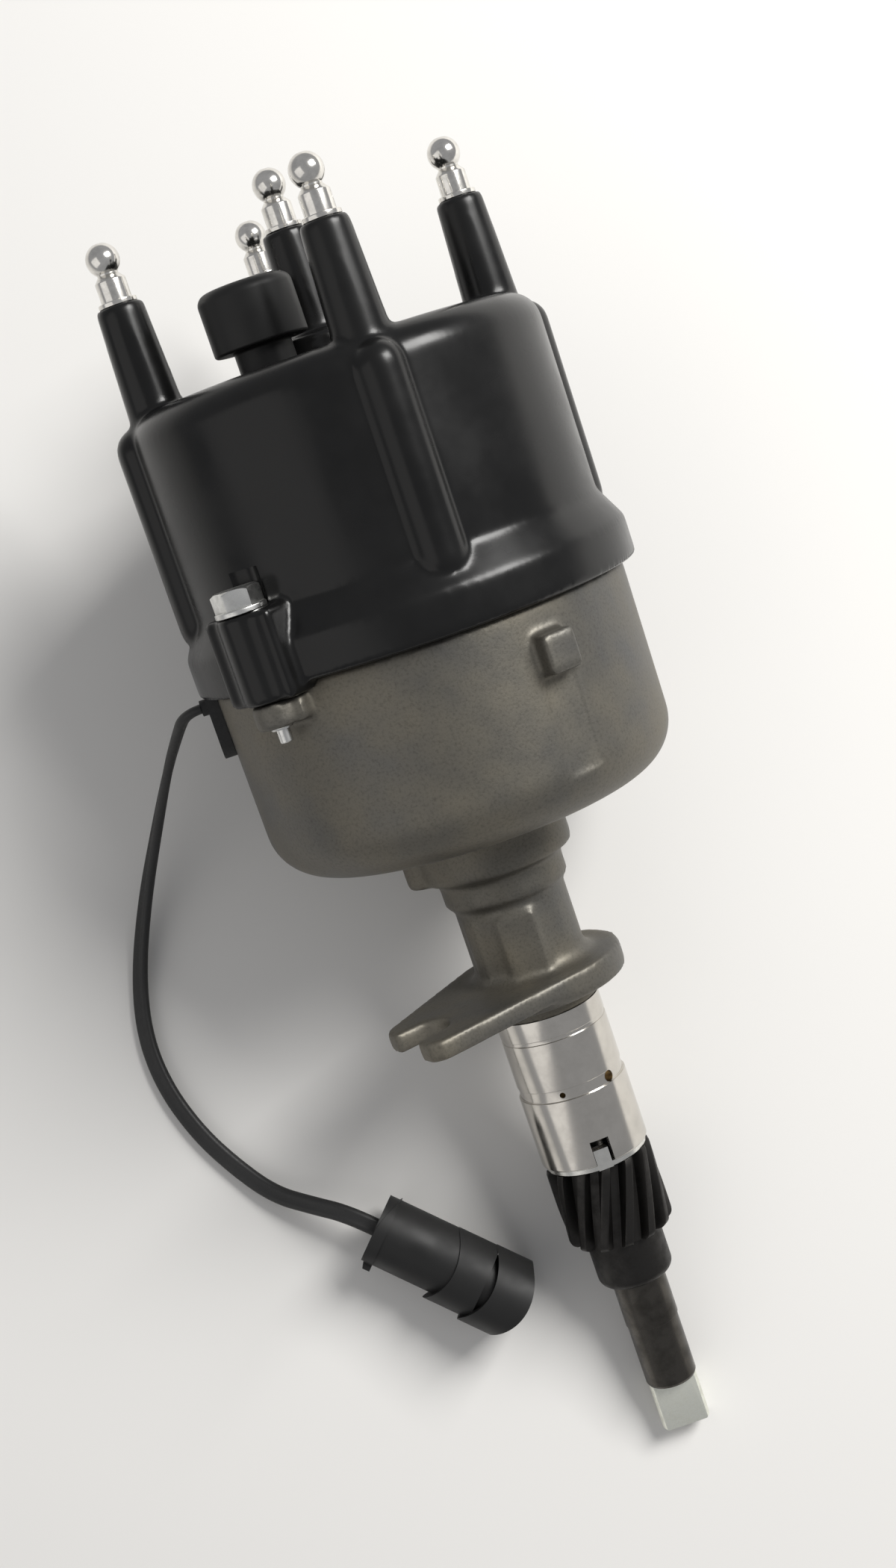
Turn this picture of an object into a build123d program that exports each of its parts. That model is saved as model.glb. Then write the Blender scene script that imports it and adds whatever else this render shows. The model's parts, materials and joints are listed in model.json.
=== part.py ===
from build123d import *
import os
from math import acos, asin, atan2, cos, degrees, hypot, radians, sin, sqrt, tan

# Four-cylinder ignition distributor lying on its side, with its lead on the same surface.
# Each piece is built upright about local Z, cap end up, with zero at the mounting flange's
# seat face, and is then laid down. Angles are read from the side that ends up on top,
# growing towards +X. Millimetres.

# ---- driving sizes -------------------------------------------------------------------
# fits and gaps
running_gap = 0.04          # radial, shaft in bushings, brush in its bore, screws in ears
loose_gap = 0.3             # between pieces that only sit beside each other
end_float = 0.1             # gear face to thrust washer
spark_gap = 0.75            # rotor blade to electrode

# housing casting
flange_thickness = 5.6
flange_radius = 18.0
fork_angle = -66.0
fork_offset = 8.9
fork_reach = 31.0
fork_thickness = 4.0
prong_radius = 3.3
clamp_slot_width = 9.2
clamp_slot_root = 25.0
neck_radius = 11.4
neck_length = 16.1
neck_fillet = 2.5
neck_pad_proud = 0.25
neck_pad_foot = 1.0
neck_pad_head = 2.5
wide_pad_angle = -3.0
wide_pad_width = 8.3
narrow_pad_angle = -56.0
narrow_pad_width = 4.0
step_overhang = 1.3
step_inner_share = 0.4
step_outer_share = 0.5
step_height = 5.9
ring_overhang = 2.9
ring_inner_share = 0.35
ring_outer_share = 0.55
ring_height = 8.2
ring_lobe_radius = 4.3
ring_lobe_inset = 1.4
ring_lobe_rise = 0.6
bowl_cone_height = 3.1
bowl_draft = 0.35
bowl_height = 38.7
bowl_corner_radius = 10.0
bowl_inner_radius = 38.0
bowl_wall = 3.5
bowl_floor_thickness = 3.4
register_height = 2.5
register_thickness = 1.6
bearing_boss_radius = 11.4
bearing_boss_height = 12.0
ear_height = 4.7
ear_width = 12.0
ear_boss_inset = 0.6
cast_block_angle = 30.0
cast_block_width = 7.0
cast_block_height = 7.5
cast_block_proud = 4.0
cast_block_drop = 5.4
cast_recess_length = 19.0
cast_recess_depth = 0.5

# pilot shank under the flange
pilot_radius = 11.2
pilot_length = 35.3
pilot_waist_depth = 0.25
pilot_lower_land = 15.0
oil_groove_width = 2.3
oil_groove_depth = 0.45
fine_groove_drop = 7.2
fine_groove_width = 0.8
oil_hole_radius = 1.15
oil_hole_angle = 42.0
weep_hole_radius = 0.6
weep_hole_angle = -15.0
notch_width = 3.9
notch_height = 5.3
notch_angle = 6.0

# shaft, bushings, seal
shaft_radius = 5.6
bushing_wall = 2.0
upper_bushing_length = 26.0
lower_bushing_length = 21.0
lower_bushing_inset = 5.8
upper_bushing_lift = 7.0
oil_chamber_extra = 0.8
seal_radius = 8.8
seal_height = 5.0
seal_inset = 1.0
seal_rim_thickness = 1.2
seal_lip_thickness = 1.0
seal_lip_height = 2.2
thrust_washer_thickness = 1.0
thrust_washer_radius = 10.6
thrust_tab_width = 3.1
thrust_tab_height = 3.3
thrust_tab_side_gap = 0.1
shim_radius = 9.6
shim_thickness = 1.0
clip_thickness = 1.0
clip_radius = 8.2
clip_groove_depth = 0.9
clip_mouth_width = 8.0
clip_mouth_angle = 140.0
tail_radius = 5.4
tail_length = 13.8
tail_step_drop = 10.0
tang_length = 10.2
tang_thickness = 5.0
tang_relief = 0.3

# drive gear
gear_radius = 11.1
gear_root_radius = 8.8
gear_teeth = 13
gear_width = 17.4
gear_twist = 31.0
gear_tooth_tip_share = 0.30
gear_tooth_root_share = 0.60
gear_corner_radius = 1.6
gear_hub_radius = 7.9
gear_hub_length = 10.5
gear_hub_corner_radius = 2.0
gear_pin_radius = 1.6
gear_pin_angle = 65.0
split_pin_bore_share = 0.5
split_pin_slit_share = 0.4
split_pin_inset = 0.2

# cap moulding
cap_height = 54.1
cap_wall_inset = 0.5
cap_wall = 3.0
cap_roof = 4.0
cap_edge_radius = 6.0
band_proud = 3.0
band_height = 7.7
band_chamfer_height = 6.4
rib_radius = 4.75
rib_proud = 3.0
rib_drop = 1.6
rib_rise = 8.6
lug_width = 16.0
lug_face_proud = 2.9
lug_boss_radius = 5.0
lug_height = 15.0
lug_skirt = 1.7
spot_face_headroom = 2.5
tower_inset = 6.75
tower_first_angle = 11.0
tower_count = 4
tower_height = 20.3
tower_top_radius = 4.55
tower_base_radius = 5.4
coil_tower_extra = 4.0
coil_pedestal_radius = 9.5
coil_pedestal_height = 4.5
electrode_boss_radius = 5.0
electrode_boss_drop = 11.7
brush_boss_radius = 7.0
brush_show = 5.4

# vent hood on the cap roof
vent_offset = 17.4
vent_angle = -38.0
vent_neck_radius = 5.5
vent_nipple_radius = 4.0
vent_nipple_height = 9.5
vent_hole_radius = 1.5
vent_hood_radius = 9.0
vent_hood_gap = 4.7
vent_hood_height = 11.7

# terminals, electrodes, brush
ball_radius = 3.2
post_radius = 2.95
post_height = 4.7
post_collar_radius = 3.7
post_collar_height = 0.9
post_waist_radius = 2.0
ball_centre_height = 8.6
ball_flat_share = 0.93
post_taper_height = 1.1
stem_radius = 2.0
stem_depth = 22.3
electrode_radius = 2.6
electrode_drop = 20.7
coil_stem_radius = 3.0
coil_stem_depth = 27.3
brush_radius = 2.6
brush_length = 7.5
brush_gap = 0.2
spring_wire_radius = 0.35
spring_turns = 5
spring_side_gap = 0.25

# cap screws
screw_angle = -41.0
screw_radius = 2.5
screw_length = 24.5
screw_washer_radius = 4.85
screw_washer_thickness = 1.0
screw_hex_across = 8.0
screw_head_height = 4.5
screw_head_turn = 12.0

# ignition trigger inside the bowl
plate_lift = 13.3
plate_thickness = 2.0
plate_side_gap = 2.0
plate_hole_radius = 14.0
plate_boss_radius = 4.0
plate_screw_inset = 5.0
plate_screw_radius = 2.0
plate_screw_head_radius = 3.6
plate_screw_head_height = 2.4
plate_screw_length = 10.0
plate_screw_slot_length = 4.2
plate_screw_slot_width = 0.9
plate_screw_slot_depth = 1.2
sensor_width = 14.0
sensor_inset = 1.0
sensor_depth = 13.0
sensor_base_height = 10.0
sensor_arm_height = 11.9
sensor_outer_wall = 4.0
sensor_gap_width = 5.5
sensor_wire_radius = 0.9
sensor_wire_spacing = 3.2
sensor_wire_drop = 2.5
pulse_hub_radius = 9.5
pulse_hub_height = 8.0
pulse_hub_collar = 1.0
pulse_disc_clearance = 2.0
pulse_disc_thickness = 1.5
pulse_skirt_gap = 2.0
pulse_skirt_height = 12.0
pulse_pin_radius = 1.25
pulse_pin_rise = 2.2

# rotor
rotor_lift = 6.0
rotor_hub_radius = 10.0
rotor_hub_height = 15.7
rotor_plate_thickness = 4.0
rotor_arm_width = 14.0
blade_overhang = 3.9
rotor_tail_reach = 15.0
rotor_flat_depth = 1.2
rotor_collar_extra = 3.0
rotor_bore_cover = 1.7
blade_width = 8.0
blade_thickness = 1.5
contact_strip_width = 5.0
contact_strip_thickness = 0.5
contact_strip_rise = 3.2
contact_strip_tail = 12.0
contact_strip_bend = 6.0
contact_pad_start = 1.5
contact_pad_end = 2.5
rotor_angle = 11.0

# lead outlet and connector
grommet_angle = -90.0
grommet_slot_width = 6.4
grommet_slot_depth = 11.3
grommet_flange_width = 9.6
grommet_flange_height = 12.6
grommet_proud = 2.4
grommet_inner_flange = 1.3
grommet_blank_reach = 18.0
lead_radius = 1.9
lead_collar_radius = 1.6
lead_exit_drop = 2.1
lead_exit_reach = 1.3
connector_nose_radius = 8.65
connector_middle_radius = 8.1
connector_body_radius = 7.3
connector_plate_radius = 7.8
connector_side_step = 0.1
connector_plate_thickness = 2.6
connector_length = 35.3
connector_middle_start = 15.5
connector_nose_start = 24.2
connector_bow_radius = 12.0
connector_bow_length = 3.0
connector_bow_shift = 1.0
connector_back_bow_radius = 20.0
connector_back_bow_shift = -1.0
connector_ear_reach = 8.4
connector_ear_width = 6.0
connector_turn = -43.5
connector_origin = (-49.36, -72.79)
contact_sleeve_radius = 1.5
contact_bore_radius = 0.8
contact_spacing = 6.0
contact_depth = 12.0
contact_recess = 2.0
connector_core_recess = 4.0
connector_overlap = 1.0

# ---- levels worked out from the sizes ------------------------------------------------
flange_top = flange_thickness
neck_top = flange_top + neck_length
step_top = neck_top + step_height
ring_top = step_top + ring_height
bowl_base = ring_top + bowl_cone_height
rim_level = bowl_base + bowl_height
bowl_floor = bowl_base + bowl_floor_thickness
boss_top = bowl_floor + bearing_boss_height
plate_level = bowl_floor + plate_lift
plate_top = plate_level + plate_thickness
sensor_base_top = plate_top + sensor_base_height
sensor_top = sensor_base_top + sensor_arm_height
bowl_rim_radius = bowl_inner_radius + bowl_wall
bowl_low_radius = bowl_rim_radius - bowl_draft
band_radius = bowl_rim_radius + band_proud
cap_wall_radius = bowl_rim_radius - cap_wall_inset
rib_reach = cap_wall_radius + rib_proud
tower_circle_radius = cap_wall_radius - tower_inset
plate_radius = bowl_inner_radius - plate_side_gap
plate_screw_circle = plate_radius - plate_screw_inset
sensor_outer_radius = plate_radius - sensor_inset
sensor_inner_radius = sensor_outer_radius - sensor_depth
sensor_gap_outer = sensor_outer_radius - sensor_outer_wall
sensor_gap_inner = sensor_gap_outer - sensor_gap_width
pulse_skirt_radius = sensor_gap_outer - pulse_skirt_gap
register_radius = bowl_inner_radius + register_thickness
step_radius = neck_radius + step_overhang
ring_radius = step_radius + ring_overhang
screw_circle_radius = band_radius
lug_face_radius = screw_circle_radius + lug_face_proud

pilot_end = -pilot_length
washer_bottom = pilot_end - thrust_washer_thickness
gear_top = washer_bottom - end_float
gear_bottom = gear_top - gear_width
hub_bottom = gear_bottom - gear_hub_length
tail_top = hub_bottom - tail_step_drop
tail_end = tail_top - tail_length
tang_end = tail_end - tang_length

bushing_radius = shaft_radius + running_gap + bushing_wall
lower_bushing_bottom = pilot_end + lower_bushing_inset
lower_bushing_top = lower_bushing_bottom + lower_bushing_length
upper_bushing_bottom = flange_top + upper_bushing_lift
upper_bushing_top = upper_bushing_bottom + upper_bushing_length
seal_bottom = boss_top - seal_inset - seal_height

cap_top = rim_level + cap_height
roof_level = cap_top - cap_roof
cap_inner_radius = cap_wall_radius - cap_wall
tower_top = cap_top + tower_height
coil_tower_top = tower_top + coil_tower_extra
electrode_top = tower_top - stem_depth
electrode_bottom = roof_level - electrode_drop
coil_stem_bottom = coil_tower_top - coil_stem_depth
lug_bottom = rim_level - lug_skirt
lug_top = rim_level + lug_height

pulse_disc_bottom = sensor_top + pulse_disc_clearance
pulse_disc_top = pulse_disc_bottom + pulse_disc_thickness
pulse_hub_top = pulse_disc_top + pulse_hub_collar
pulse_hub_bottom = pulse_hub_top - pulse_hub_height
pulse_pin_level = pulse_hub_bottom + pulse_pin_rise
gear_pin_level = hub_bottom + gear_hub_length / 2
rotor_bottom = pulse_hub_top + rotor_lift
rotor_hub_top = rotor_bottom + rotor_hub_height
rotor_top = rotor_hub_top + rotor_plate_thickness
blade_top = rotor_top + blade_thickness
contact_top = blade_top + contact_strip_rise
shaft_top = rotor_hub_top - rotor_bore_cover
blade_reach = tower_circle_radius - electrode_radius - spark_gap
rotor_arm_reach = blade_reach - blade_overhang
brush_bottom = contact_top + brush_gap
brush_top = brush_bottom + brush_length
brush_boss_bottom = brush_bottom + brush_show

screw_angles = [screw_angle, screw_angle + 180]
tower_angles = [tower_first_angle + index * 360 / tower_count for index in range(tower_count)]
plate_screw_angles = [grommet_angle + 60 + index * 120 for index in range(3)]


# ---- how it lies on the surface ------------------------------------------------------
def round_centre(before, corner, after, radius):
    """Centre of the arc that rounds a corner of an outline."""
    towards_before = (Vector(*before) - Vector(*corner)).normalized()
    towards_after = (Vector(*after) - Vector(*corner)).normalized()
    half_angle = radians(towards_before.get_angle(towards_after)) / 2
    middle = (towards_before + towards_after).normalized()
    return Vector(*corner) + middle * (radius / sin(half_angle))


def rise_angle(tail, foot):
    """Slope of the axis when the surface touches a tail edge and a rounded foot."""
    across = foot[0] - tail[0]
    along = foot[1] - tail[1]
    return degrees(atan2(across, along) + asin(foot[2] / hypot(across, along)))


bowl_corner = round_centre(
    (bowl_rim_radius, rim_level),
    (bowl_low_radius, bowl_base),
    (ring_radius, ring_top),
    bowl_corner_radius,
)
body_feet = [
    (bowl_corner.X, bowl_corner.Y, bowl_corner_radius),
    (band_radius, rim_level, 0.0),
]
tail_feet = [
    (tail_radius, tail_end),
    (tang_thickness / 2, tang_end),
]
lean = min(max(rise_angle(tail, foot) for foot in body_feet) for tail in tail_feet)
axis_height = max(
    radius * cos(radians(lean)) - level * sin(radians(lean)) for radius, level in tail_feet
)
lay_down = Rot(-(90 - lean), 0, 0)


# ---- helpers -------------------------------------------------------------------------
def turned(points, rounds):
    """Solid of revolution about local Z from an outline of (radius, level) corners."""
    outline = make_face(FilletPolyline(*points, radius=rounds, close=True))
    return revolve(Plane.XZ * outline, Axis.Z)


def post(radius, bottom, top):
    return Pos(0, 0, (bottom + top) / 2) * Cylinder(radius, top - bottom)


def tube(outer, inner, bottom, top):
    return post(outer, bottom, top) - post(inner, bottom, top)


def around(angle, radius=0.0, level=0.0):
    """Place on the side at an angle, with local -Y pointing outwards."""
    return Rot(0, 0, angle) * Pos(0, -radius, level)


def radial_block(width, inner, outer, bottom, top):
    """Box that stands on the side at angle zero, from one radius to another."""
    return Pos(0, -(inner + outer) / 2, (bottom + top) / 2) * Box(width, outer - inner, top - bottom)


def radial_rod(radius, inner, outer, level):
    return Pos(0, -(inner + outer) / 2, level) * Rot(90, 0, 0) * Cylinder(radius, outer - inner)


def hexagon(across, bottom, top):
    return Pos(0, 0, bottom) * extrude(RegularPolygon(across / 2, 6, major_radius=False), top - bottom)


# ---- housing -------------------------------------------------------------------------
def make_pilot_outline():
    lower_land_top = pilot_end + pilot_lower_land
    groove_top = lower_land_top + oil_groove_width
    fine_top = -fine_groove_drop
    fine_bottom = fine_top - fine_groove_width
    waist_radius = pilot_radius - pilot_waist_depth
    groove_radius = pilot_radius - oil_groove_depth
    points = [
        (0, pilot_end),
        (pilot_radius, pilot_end),
        (pilot_radius, lower_land_top),
        (groove_radius, lower_land_top),
        (groove_radius, groove_top),
        (waist_radius, groove_top),
        (waist_radius, fine_bottom),
        (groove_radius, fine_bottom),
        (groove_radius, fine_top),
        (pilot_radius, fine_top),
        (pilot_radius, flange_top / 2),
        (0, flange_top / 2),
    ]
    return turned(points, [0, 0.4] + [0] * 10)


def make_flange():
    ring = Circle(flange_radius)
    prong_offset = clamp_slot_width / 2 + prong_radius
    tips = [
        Pos(fork_offset + side * prong_offset, -fork_reach) * Circle(prong_radius) for side in (-1, 1)
    ]
    outline = make_hull(ring.edges() + tips[0].edges() + tips[1].edges())
    slot_length = fork_reach + 2 * prong_radius - clamp_slot_root
    slot_root = clamp_slot_root + clamp_slot_width / 2
    outline -= Pos(fork_offset, -slot_root) * Circle(clamp_slot_width / 2)
    outline -= Pos(fork_offset, -slot_root - slot_length / 2) * Rectangle(clamp_slot_width, slot_length)
    plate = Pos(0, 0, flange_top - fork_thickness) * extrude(outline, fork_thickness)
    plate += extrude(ring, flange_thickness)
    return Rot(0, 0, fork_angle) * plate


def make_body_outline():
    points = [
        (0, flange_top / 2),
        (neck_radius + 2 * neck_fillet, flange_top / 2),
        (neck_radius + 2 * neck_fillet, flange_top),
        (neck_radius, flange_top),
        (neck_radius, neck_top),
        (step_radius, neck_top),
        (step_radius, step_top),
        (ring_radius, step_top),
        (ring_radius, ring_top),
        (bowl_low_radius, bowl_base),
        (bowl_rim_radius, rim_level),
        (0, rim_level),
    ]
    step_rounds = [step_inner_share * step_overhang, step_outer_share * step_overhang]
    ring_rounds = [ring_inner_share * ring_overhang, ring_outer_share * ring_overhang]
    rounds = [0, 0, 0, neck_fillet] + step_rounds + ring_rounds + [1.0, bowl_corner_radius, 0.4, 0]
    return turned(points, rounds)


def make_screw_ear():
    ear_top = lug_bottom
    ear_bottom = ear_top - ear_height
    ear = radial_block(ear_width, bowl_inner_radius + 1, screw_circle_radius, ear_bottom, ear_top)
    boss = Pos(0, -screw_circle_radius) * post(lug_boss_radius - ear_boss_inset, ear_bottom, ear_top)
    hole = Pos(0, -screw_circle_radius) * post(screw_radius + running_gap, ear_bottom - 1, ear_top + 1)
    return ear + boss, hole


def make_housing():
    body = make_pilot_outline() + make_flange() + make_body_outline()
    body += around(grommet_angle, ring_radius - ring_lobe_inset) * post(
        ring_lobe_radius, step_top, ring_top + ring_lobe_rise
    )
    for angle, width in ((wide_pad_angle, wide_pad_width), (narrow_pad_angle, narrow_pad_width)):
        body += around(angle) * radial_block(
            width,
            width / 2,
            neck_radius + neck_pad_proud,
            flange_top + neck_pad_foot,
            neck_top - neck_pad_head,
        )

    inner_round = bowl_corner_radius - (bowl_rim_radius - bowl_inner_radius)
    hollow = turned(
        [
            (0, bowl_floor),
            (bowl_inner_radius, bowl_floor),
            (bowl_inner_radius, rim_level + 1),
            (0, rim_level + 1),
        ],
        [0, inner_round, 0, 0],
    )
    ears = [make_screw_ear() for _ in screw_angles]
    for angle, (ear, _) in zip(screw_angles, ears):
        body += around(angle) * ear
    body -= hollow
    body += tube(register_radius, bowl_inner_radius, rim_level - 1, rim_level + register_height)
    body += post(bearing_boss_radius, bowl_floor - 1, boss_top)
    for angle in plate_screw_angles:
        body += around(angle, plate_screw_circle) * post(plate_boss_radius, bowl_floor - 1, plate_level)

    block_top = rim_level - cast_block_drop
    block_bottom = block_top - cast_block_height
    block_face = bowl_rim_radius + cast_block_proud
    block = radial_block(cast_block_width, bowl_inner_radius + 1, block_face, block_bottom, block_top)
    recess_face = bowl_low_radius - cast_recess_depth
    recess = radial_block(
        cast_block_width + 1, recess_face, block_face, block_bottom - cast_recess_length, block_bottom
    )
    body += around(cast_block_angle) * fillet(block.edges().filter_by(GeomType.LINE), 0.5)
    body -= around(cast_block_angle) * recess

    for angle, (_, hole) in zip(screw_angles, ears):
        body -= around(angle) * hole
    for angle in plate_screw_angles:
        body -= around(angle, plate_screw_circle) * post(
            plate_screw_radius, plate_level - plate_screw_length, plate_level + 1
        )
    slot_bottom = rim_level - grommet_slot_depth
    body -= around(grommet_angle) * radial_block(
        grommet_slot_width, bowl_inner_radius - 2, band_radius, slot_bottom, rim_level + register_height + 1
    )
    body -= post(bushing_radius, pilot_end - 1, boss_top + 1)
    body -= post(bushing_radius + oil_chamber_extra, lower_bushing_top, upper_bushing_bottom)
    body -= post(seal_radius, seal_bottom, boss_top + 1)
    groove_level = pilot_end + pilot_lower_land + oil_groove_width / 2
    for angle, radius in ((oil_hole_angle, oil_hole_radius), (weep_hole_angle, weep_hole_radius)):
        body -= around(angle) * radial_rod(radius, bushing_radius - 1, pilot_radius + 1, groove_level)
    body -= around(notch_angle) * radial_block(
        notch_width, bushing_radius - 1, pilot_radius + 1, pilot_end - 1, pilot_end + notch_height
    )
    return body


def make_thrust_washer():
    ring = tube(thrust_washer_radius, shaft_radius + loose_gap, washer_bottom, pilot_end)
    tab_side = (thrust_tab_width - notch_width) / 2 + thrust_tab_side_gap
    tab = Pos(tab_side, 0, 0) * radial_block(
        thrust_tab_width, bushing_radius + 1, pilot_radius - 0.2, washer_bottom, pilot_end + thrust_tab_height
    )
    return ring + around(notch_angle) * tab


def make_upper_bushing():
    return tube(bushing_radius, shaft_radius + running_gap, upper_bushing_bottom, upper_bushing_top)


def make_lower_bushing():
    return tube(bushing_radius, shaft_radius + running_gap, lower_bushing_bottom, lower_bushing_top)


def make_shaft_seal():
    lip = shaft_radius + running_gap
    seal_top = seal_bottom + seal_height
    points = [
        (lip, seal_bottom),
        (seal_radius, seal_bottom),
        (seal_radius, seal_top),
        (seal_radius - seal_rim_thickness, seal_top),
        (lip + seal_lip_thickness, seal_bottom + seal_lip_height),
        (lip, seal_bottom + seal_lip_height),
    ]
    return turned(points, 0)


# ---- shaft and what turns with it ----------------------------------------------------
def make_shaft():
    clip_bottom = boss_top + loose_gap + shim_thickness
    rotor_flat = shaft_radius - rotor_flat_depth
    body = post(shaft_radius, tail_top, shaft_top)
    tail = turned(
        [(0, tang_end), (tail_radius, tang_end), (tail_radius, tail_top), (0, tail_top)],
        [0, tang_relief + 0.4, 0, 0],
    )
    tail -= tube(2 * tail_radius, tail_radius - tang_relief, tang_end - 1, tail_end)
    for side in (-1, 1):
        tail -= Pos(0, side * (tang_thickness / 2 + tail_radius), (tang_end + tail_end) / 2) * Box(
            4 * tail_radius, 2 * tail_radius, tang_length
        )
    body += tail
    body -= tube(
        shaft_radius + 1, shaft_radius - clip_groove_depth, clip_bottom, clip_bottom + clip_thickness
    )
    body -= around(rotor_angle) * radial_block(
        4 * shaft_radius, rotor_flat, 2 * shaft_radius, rotor_bottom, shaft_top
    )
    body -= around(gear_pin_angle) * radial_rod(
        gear_pin_radius, -gear_hub_radius, gear_hub_radius, gear_pin_level
    )
    body -= around(gear_pin_angle) * radial_rod(
        pulse_pin_radius, -pulse_hub_radius, pulse_hub_radius, pulse_pin_level
    )
    return body


def make_gear_outline():
    """Closed outline of straight-flanked teeth."""
    step = 360 / gear_teeth
    tip = gear_tooth_tip_share / 2
    root = gear_tooth_root_share / 2
    flank = [(-root, gear_root_radius), (-tip, gear_radius), (tip, gear_radius), (root, gear_root_radius)]
    corners = []
    for tooth in range(gear_teeth):
        for share, radius in flank:
            angle = radians((tooth + share) * step)
            corners.append((radius * sin(angle), -radius * cos(angle)))
    return make_face(Polyline(*corners, close=True))


def make_drive_gear():
    teeth = Solid.extrude_linear_with_rotation(
        make_gear_outline().face(), (0, 0, 0), (0, 0, gear_width), gear_twist
    )
    blank = turned(
        [(0, gear_bottom), (gear_radius, gear_bottom), (gear_radius, gear_top), (0, gear_top)],
        [0, gear_corner_radius, 0.3, 0],
    )
    gear = (Pos(0, 0, gear_bottom) * teeth) & blank
    gear += turned(
        [
            (0, hub_bottom),
            (gear_hub_radius, hub_bottom),
            (gear_hub_radius, gear_bottom + 1),
            (0, gear_bottom + 1),
        ],
        [0, gear_hub_corner_radius, 0, 0],
    )
    gear -= post(shaft_radius, hub_bottom - 1, gear_top + 1)
    gear -= around(gear_pin_angle) * radial_rod(
        gear_pin_radius, -gear_hub_radius - 1, gear_hub_radius + 1, gear_pin_level
    )
    return gear


def make_split_pin(radius, reach, level):
    pin = radial_rod(radius, -reach, reach, level)
    pin -= radial_rod(radius * split_pin_bore_share, -reach, reach, level)
    slit = Pos(0, 0, level + radius) * Box(radius * split_pin_slit_share, 2 * reach, 2 * radius)
    return around(gear_pin_angle) * (pin - slit)


def make_gear_pin():
    return make_split_pin(gear_pin_radius, gear_hub_radius - split_pin_inset, gear_pin_level)


def make_pulse_ring_pin():
    return make_split_pin(pulse_pin_radius, pulse_hub_radius - split_pin_inset, pulse_pin_level)


def make_shaft_shim():
    bottom = boss_top + loose_gap
    return tube(shim_radius, shaft_radius + running_gap, bottom, bottom + shim_thickness)


def make_retaining_clip():
    bottom = boss_top + loose_gap + shim_thickness
    ring = tube(clip_radius, shaft_radius - clip_groove_depth, bottom, bottom + clip_thickness)
    mouth = Pos(0, -clip_radius, bottom + clip_thickness / 2) * Box(
        clip_mouth_width, 2 * clip_radius, clip_thickness + 1
    )
    return Rot(0, 0, clip_mouth_angle) * (ring - mouth)


def make_pulse_ring():
    ring = tube(pulse_hub_radius, shaft_radius, pulse_hub_bottom, pulse_hub_top)
    ring += tube(pulse_skirt_radius, pulse_hub_radius - 1, pulse_disc_bottom, pulse_disc_top)
    skirt = tube(
        pulse_skirt_radius,
        pulse_skirt_radius - pulse_disc_thickness,
        pulse_disc_bottom - pulse_skirt_height,
        pulse_disc_bottom + 0.1,
    )
    half = Pos(pulse_skirt_radius, 0, pulse_disc_bottom) * Box(
        2 * pulse_skirt_radius, 4 * pulse_skirt_radius, 4 * pulse_skirt_height
    )
    ring += skirt - half
    ring -= around(gear_pin_angle) * radial_rod(
        pulse_pin_radius, -pulse_hub_radius - 1, pulse_hub_radius + 1, pulse_pin_level
    )
    return ring


def make_rotor_body():
    hub = post(rotor_hub_radius, rotor_bottom, rotor_hub_top)
    arm_length = rotor_arm_reach + rotor_tail_reach
    arm = Pos(0, -(rotor_arm_reach - rotor_tail_reach) / 2, rotor_hub_top) * extrude(
        SlotOverall(arm_length, rotor_arm_width, rotation=90), rotor_plate_thickness
    )
    disc = post(rotor_hub_radius + rotor_collar_extra, rotor_hub_top, rotor_top)
    bore = post(shaft_radius, rotor_bottom - 1, shaft_top)
    bore -= radial_block(
        4 * shaft_radius, shaft_radius - rotor_flat_depth, 2 * shaft_radius, rotor_bottom - 2, shaft_top + 1
    )
    return around(rotor_angle) * (hub + arm + disc - bore)


def make_rotor_blade():
    blade = radial_block(blade_width, -blade_width / 2, blade_reach, rotor_top, blade_top)
    tip = tube(blade_reach, 0, rotor_top - 1, blade_top + 1)
    blade = blade & tip
    return around(rotor_angle) * blade


def make_contact_strip():
    """Bent leaf from the blade up to the pad under the brush."""
    top = contact_top - contact_strip_thickness
    points = [
        (-contact_strip_tail, blade_top),
        (-contact_strip_bend, blade_top),
        (-contact_pad_start, top),
        (contact_pad_end, top),
        (contact_pad_end, contact_top),
        (-contact_pad_start, contact_top),
        (-contact_strip_bend, blade_top + contact_strip_thickness),
        (-contact_strip_tail, blade_top + contact_strip_thickness),
    ]
    side = make_face(Polyline(*points, close=True))
    leaf = extrude(Plane.YZ * side, contact_strip_width / 2, both=True)
    return around(rotor_angle) * leaf


# ---- trigger in the bowl -------------------------------------------------------------
def make_sensor_plate():
    plate = tube(plate_radius, plate_hole_radius, plate_level, plate_top)
    for angle in plate_screw_angles:
        plate -= around(angle, plate_screw_circle) * post(
            plate_screw_radius + running_gap, plate_level - 1, plate_top + 1
        )
    return plate


def make_plate_screw(angle):
    head_top = plate_top + plate_screw_head_height
    screw = post(plate_screw_head_radius, plate_top, head_top)
    screw = fillet(screw.edges().sort_by(Axis.Z)[-1], 0.8)
    screw += post(plate_screw_radius, plate_top - plate_screw_length, plate_top)
    for turn in (0, 90):
        screw -= Pos(0, 0, head_top) * Rot(0, 0, turn) * Box(
            plate_screw_slot_length, plate_screw_slot_width, 2 * plate_screw_slot_depth
        )
    return around(angle, plate_screw_circle) * screw


def make_trigger_sensor():
    sensor = radial_block(sensor_width, sensor_inner_radius, sensor_outer_radius, plate_top, sensor_top)
    slot = radial_block(
        sensor_width + 2, sensor_gap_inner, sensor_gap_outer, sensor_base_top, sensor_top + 1
    )
    return around(grommet_angle) * (sensor - slot)


def make_sensor_wires():
    grommet_face = bowl_inner_radius - grommet_inner_flange
    wire_end = sqrt(grommet_face**2 - (sensor_wire_spacing / 2 + sensor_wire_radius) ** 2)
    level = rim_level - lead_exit_drop - sensor_wire_drop
    wires = []
    for side in (-1, 1):
        wire = Pos(side * sensor_wire_spacing / 2, 0, 0) * radial_rod(
            sensor_wire_radius, sensor_outer_radius, wire_end, level
        )
        wires.append(around(grommet_angle) * wire)
    return Compound(children=wires)


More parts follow.
